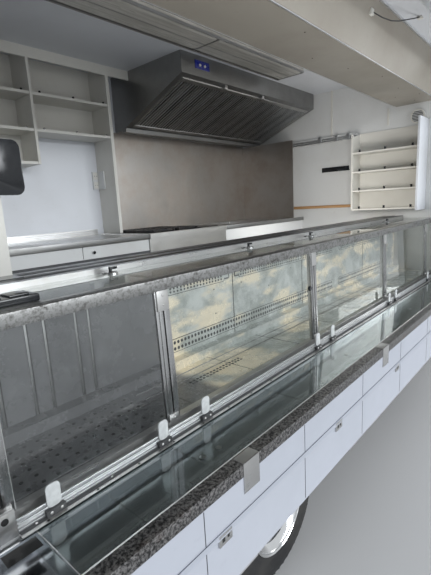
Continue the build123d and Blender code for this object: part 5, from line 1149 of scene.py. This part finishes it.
def on_flap(distance, below):
    """The (y, z) point on the open flap, a distance from its hinge and below its middle."""
    return (HINGE_Y - distance * math.cos(LIFT) - below * math.sin(LIFT),
            HINGE_Z + distance * math.sin(LIFT) - below * math.cos(LIFT))


def flap_plate(x, near, far, depth):
    """A prism row for a plate under the flap, between two distances from its hinge."""
    return [on_flap(near, 14), on_flap(far, 14), on_flap(far, depth), on_flap(near, depth)], "x", x, 1.5


made_of("prism", "flap_ribs", rail_alloy, [
    *(flap_plate((-1380, 2820), near, near + 40, 24) for near in (330, 840, 1330)),
    *(flap_plate((x, x + 34), 330, 1820, 22) for x in (-1380, -550, 300, 1140, 1980, 2790))],
    "serving_flap")
made_of("prism", "flap_latches", steel, [flap_plate(span(x, 30), 1830, 1866, 25) for x in (-900, 2300)],
        "serving_flap")
print("flap dressed")

# %% Rear end
TIERS = ((lens_red, "stop", (642, 690)), (lens_amber, "turn", (692, 722)),
         (plate_blank, "reverse", (724, 758)))
LENS_INNER, LENS_OUTER = LEFT - 282, LEFT - 58
for finish, name, heights in TIERS:
    made_of("slab", "rear_lens_" + name, finish, [
        ((REAR - 39, REAR - 33), y, heights, 2.5)
        for y in ((-LENS_OUTER, -LENS_INNER), (LENS_INNER, LENS_OUTER))])
made_of("slab", "rear_plate", plate_blank, [((REAR - 120, REAR - 114), (500, 1020), (376, 486), 2)])
door_edge = reach("rear_door")[1][0]
lever = Shape()
lever.slab((REAR - 3, REAR + 1), (door_edge + 30, door_edge + 78), (1440, 1640), 2)
lever.bar((REAR - 36, door_edge + 54, 1560), (REAR, door_edge + 54, 1560), 10, 16, 1.5)
lever.slab((REAR - 42, REAR - 30), (door_edge + 44, door_edge + 170), (1549, 1571), 5)
lever.piece("rear_door_handle", chrome, "rear_door")
print("rear end dressed")

# %% [markdown]
# ## The cab
# The CAD cab is exact but sharp. Its copies of points are welded and its edges bevelled
# by live modifiers, which leave the CAD mesh as it is. Then come the parts that make a
# face: lamp bowls, wipers, mirror glass and blank plates.

# %% Soft edges on the cab
EDGE_ANGLE = math.radians(32.0)
for width, names in ((7, ("cab_shell", "cab_door_left", "cab_door_right", "bonnet", "wings")),
                     (6, ("bumpers", "dashboard"))):
    for name in names:
        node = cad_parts[name]
        weld = node.modifiers.new("weld", "WELD")
        weld.merge_threshold = 0.00003
        bevel = node.modifiers.new("bevel", "BEVEL")
        bevel.width = width / 1000
        bevel.segments = 3
        bevel.limit_method = "ANGLE"
        bevel.angle_limit = EDGE_ANGLE
        bevel.use_clamp_overlap = True
        bevel.harden_normals = True
print("cab edges softened")

# %% Lamps and wipers
SIDES = (-1, 1)
LAMP_X, LAMP_Y, LAMP_Z = 4850, 735, 780
BOWL_FORM = [(16, 0), (60, 26), (84, 62), (87, 60), (63, 22), (16, -6)]
HOUSING = ((4746, 600), (4846, 600), (4846, 828), (4746, 897))
CORNER = ((4754, 922), (4842, 862), (4842, 885), (4754, 945))
for name, finish, outline, heights, soft in (("lamp_housings", trim_black, HOUSING, (660, 895), 2),
                                             ("corner_indicators", lens_amber, CORNER, (668, 887), 3)):
    made_of("prism", name, finish, [
        ([(x, side * y) for x, y in outline], "z", heights, soft) for side in SIDES])
made_of("turned", "lamp_bowls", chrome, [
    ((LAMP_X, side * LAMP_Y, LAMP_Z), (1, 0, 0), BOWL_FORM, 40) for side in SIDES])
made_of("bar", "lamp_bulbs", plate_blank, [
    ((LAMP_X + 2, side * LAMP_Y, LAMP_Z), (LAMP_X + 36, side * LAMP_Y, LAMP_Z), 11, 16, 3) for side in SIDES])
wipers = Shape()
for y in (-620, 80):
    foot = Vector((4478, y, 1352))
    tip = Vector((4262, y + 420, 1655))
    wipers.bar(foot, foot + (tip - foot) * 0.55, 6, 8, 1)
    wipers.bar(foot + (tip - foot) * 0.25 + Vector((8, 0, 4)), tip, 5, 8, 1)
    wipers.bar(foot - Vector((12, 0, 12)), foot + Vector((8, 0, 12)), 13, 14, 2)
wipers.piece("wipers", trim_black)
print("cab face dressed")

# %% Door mirrors, handles and front plate
for body, side in (("cab_door_left", 1), ("cab_door_right", -1)):
    mirror_y, pull_y = (sorted((side * inner, side * outer)) for inner, outer in ((1092, 1236), (1026, 1034)))
    made_of("prism", body + "_mirror_glass", mirror_silver, [
        (rounded(mirror_y, (1372, 1682), 20), "x", (3892.5, 3895.5), 0.6)], body)
    made_of("prism", body + "_handle_trim", trim_black, [
        (rounded((3218, 3362), (1134, 1161), 12), "y", pull_y, 2)], body)
bumper_nose = reach("bumpers")[0][1]
made_of("slab", "front_plate", plate_blank, [
    ((bumper_nose - 3, bumper_nose + 4), (-260, 260), (450, 560), 2)])
print("mirrors, handles and plates ready")

# %% [markdown]
# ## Seats
# A seat pad is foam under cloth, so it's crowned and a little slack. Each pad starts as
# a plain block, is remeshed into small even squares, and is blown up by Blender's cloth
# solver with gravity off. How far a point may move is capped, so the pads keep their size.

# %% Blow up the seat pads
VOXEL, CAP, CLOTH_FRAMES = 0.014, 0.016, 20


def blown(name, outline, ends):
    """The mesh of a pad: an outline in X and Z, between two Y values, then inflated."""
    shape = Shape()
    shape.prism(outline, "y", ends, 22)
    pad = bpy.data.objects.new(name + "_start", shape.data(name))
    bpy.context.collection.objects.link(pad)
    grid = pad.modifiers.new("grid", "REMESH")
    grid.mode = "VOXEL"
    grid.voxel_size = VOXEL
    mesh = evaluated(pad)
    pad.modifiers.clear()
    pad.data = mesh
    start = [vert.co.copy() for vert in mesh.vertices]
    cloth = pad.modifiers.new("cloth", "CLOTH")
    cloth.settings.use_pressure = True
    cloth.settings.uniform_pressure_force = 4.0
    cloth.settings.effector_weights.gravity = 0.0
    for frame_number in range(1, CLOTH_FRAMES + 1):
        bpy.context.scene.frame_set(frame_number)
    mesh = evaluated(pad)
    pad.modifiers.clear()
    for vert, old in zip(mesh.vertices, start):
        shift = vert.co - old
        if shift.length > CAP:
            vert.co = old + shift.normalized() * CAP
    bpy.context.scene.frame_set(1)
    bpy.data.objects.remove(pad)
    return mesh


SEAT_BACK, SEAT_LOW, SEAT_TOP, SEAT_Y = 3110, 640, 770, 480
PADS = {
    # name: outline in X and Z from the seat's corner, half width
    "cushion": (((138, -116), (562, -116), (562, -12), (138, -20)), 222),
    "backrest": (((98, -48), (196, -48), (108, 542), (28, 542)), 212),
    "headrest": (((16, 584), (66, 584), (66, 754), (16, 754)), 114),
}
for name, (outline, half) in PADS.items():
    data = blown(name, [(SEAT_BACK + x, SEAT_TOP + z) for x, z in outline], span(SEAT_Y, half))
    for seat, shift in (("driver", 0), ("passenger", -2 * SEAT_Y / 1000)):
        copy = data.copy()
        copy.transform(Matrix.Translation((0.0, shift, 0.0)))
        pad = finish_piece(seat + "_" + name, copy, seat_cloth, "body", 180)
        rounder = pad.modifiers.new("subdivision", "SUBSURF")
        rounder.levels = rounder.render_levels = 1
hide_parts("seats")
seat_frame = Shape()
for y in (-SEAT_Y, SEAT_Y):
    seat_frame.slab((SEAT_BACK + 155, SEAT_BACK + 528), span(y, 188), (463, SEAT_LOW + 22), 6)
    for post in span(y, 60):
        seat_frame.bar((SEAT_BACK + 42, post, SEAT_TOP + 520), (SEAT_BACK + 42, post, SEAT_TOP + 600), 7, 12)
seat_frame.piece("seat_frames", dash_grey)

# %% [markdown]
# ## Floor and light
# The truck stands on a plain pale floor. A pale world lights it evenly, and a wide soft
# lamp stands outside the serving side, as the open sky does in the photograph. Small
# lamps open up the kitchen and its end wall, and one lies flat to copy the light that
# the ground throws up. Two more light the nose and the far side.

# %% Floor, world and lamps
floor_finish = Finish("pale_floor", "body_white", base_color=(0.62, 0.62, 0.62), roughness=0.8)
ground = bpy.data.meshes.new("ground")
FLOOR_HALF = 60.0
corners = [(x * FLOOR_HALF, y * FLOOR_HALF, 0.0) for x, y in ((-1, -1), (1, -1), (1, 1), (-1, 1))]
ground.from_pydata(corners, [], [(0, 1, 2, 3)])
ground.materials.append(floor_finish.material)
ground_object = bpy.data.objects.new("ground", ground)
bpy.context.collection.objects.link(ground_object)

world = bpy.data.worlds.new("studio")
bpy.context.scene.world = world
world.use_nodes = True
background = world.node_tree.nodes["Background"]
background.inputs["Color"].default_value = (0.92, 0.96, 1.0, 1.0)
background.inputs["Strength"].default_value = 0.7


def soft_lamp(name, place, aim, size, power, colour=(1.0, 1.0, 1.0), mirrored=True):
    """A rectangular area lamp at one truck point, turned towards another."""
    light = bpy.data.lights.new(name, "AREA")
    light.shape = "RECTANGLE"
    light.size, light.size_y = size
    light.energy = power
    light.color = colour
    lamp = bpy.data.objects.new(name, light)
    bpy.context.collection.objects.link(lamp)
    lamp.location = at(*place)
    lamp.rotation_euler = (at(*aim) - at(*place)).to_track_quat("-Z", "Y").to_euler()
    lamp.visible_camera = False
    lamp.visible_glossy = mirrored


soft_lamp("sky_lamp", (900, -20000, 6000), (900, 900, 1500), (22.0, 4.0), 2900, (0.93, 0.97, 1.0))
soft_lamp("kitchen_lamp", (700, -330, 2660), (700, 1000, 1600), (4.0, 0.2), 2.5, (1.0, 0.98, 0.95))
soft_lamp("ground_lamp", (900, -2100, 8), (900, -2100, 2500), (7.0, 1.3), 62, (1.0, 0.99, 0.96), False)
soft_lamp("end_lamp", (1900, -350, 1640), (2950, 420, 1520), (0.7, 0.3), 8, (1.0, 0.97, 0.92), False)
soft_lamp("nose_lamp", (11000, -3000, 4500), (3500, 0, 1200), (5.0, 4.0), 190)
soft_lamp("far_side_lamp", (500, 8500, 5000), (500, 1200, 1200), (8.0, 4.0), 350)
print("lights ready")
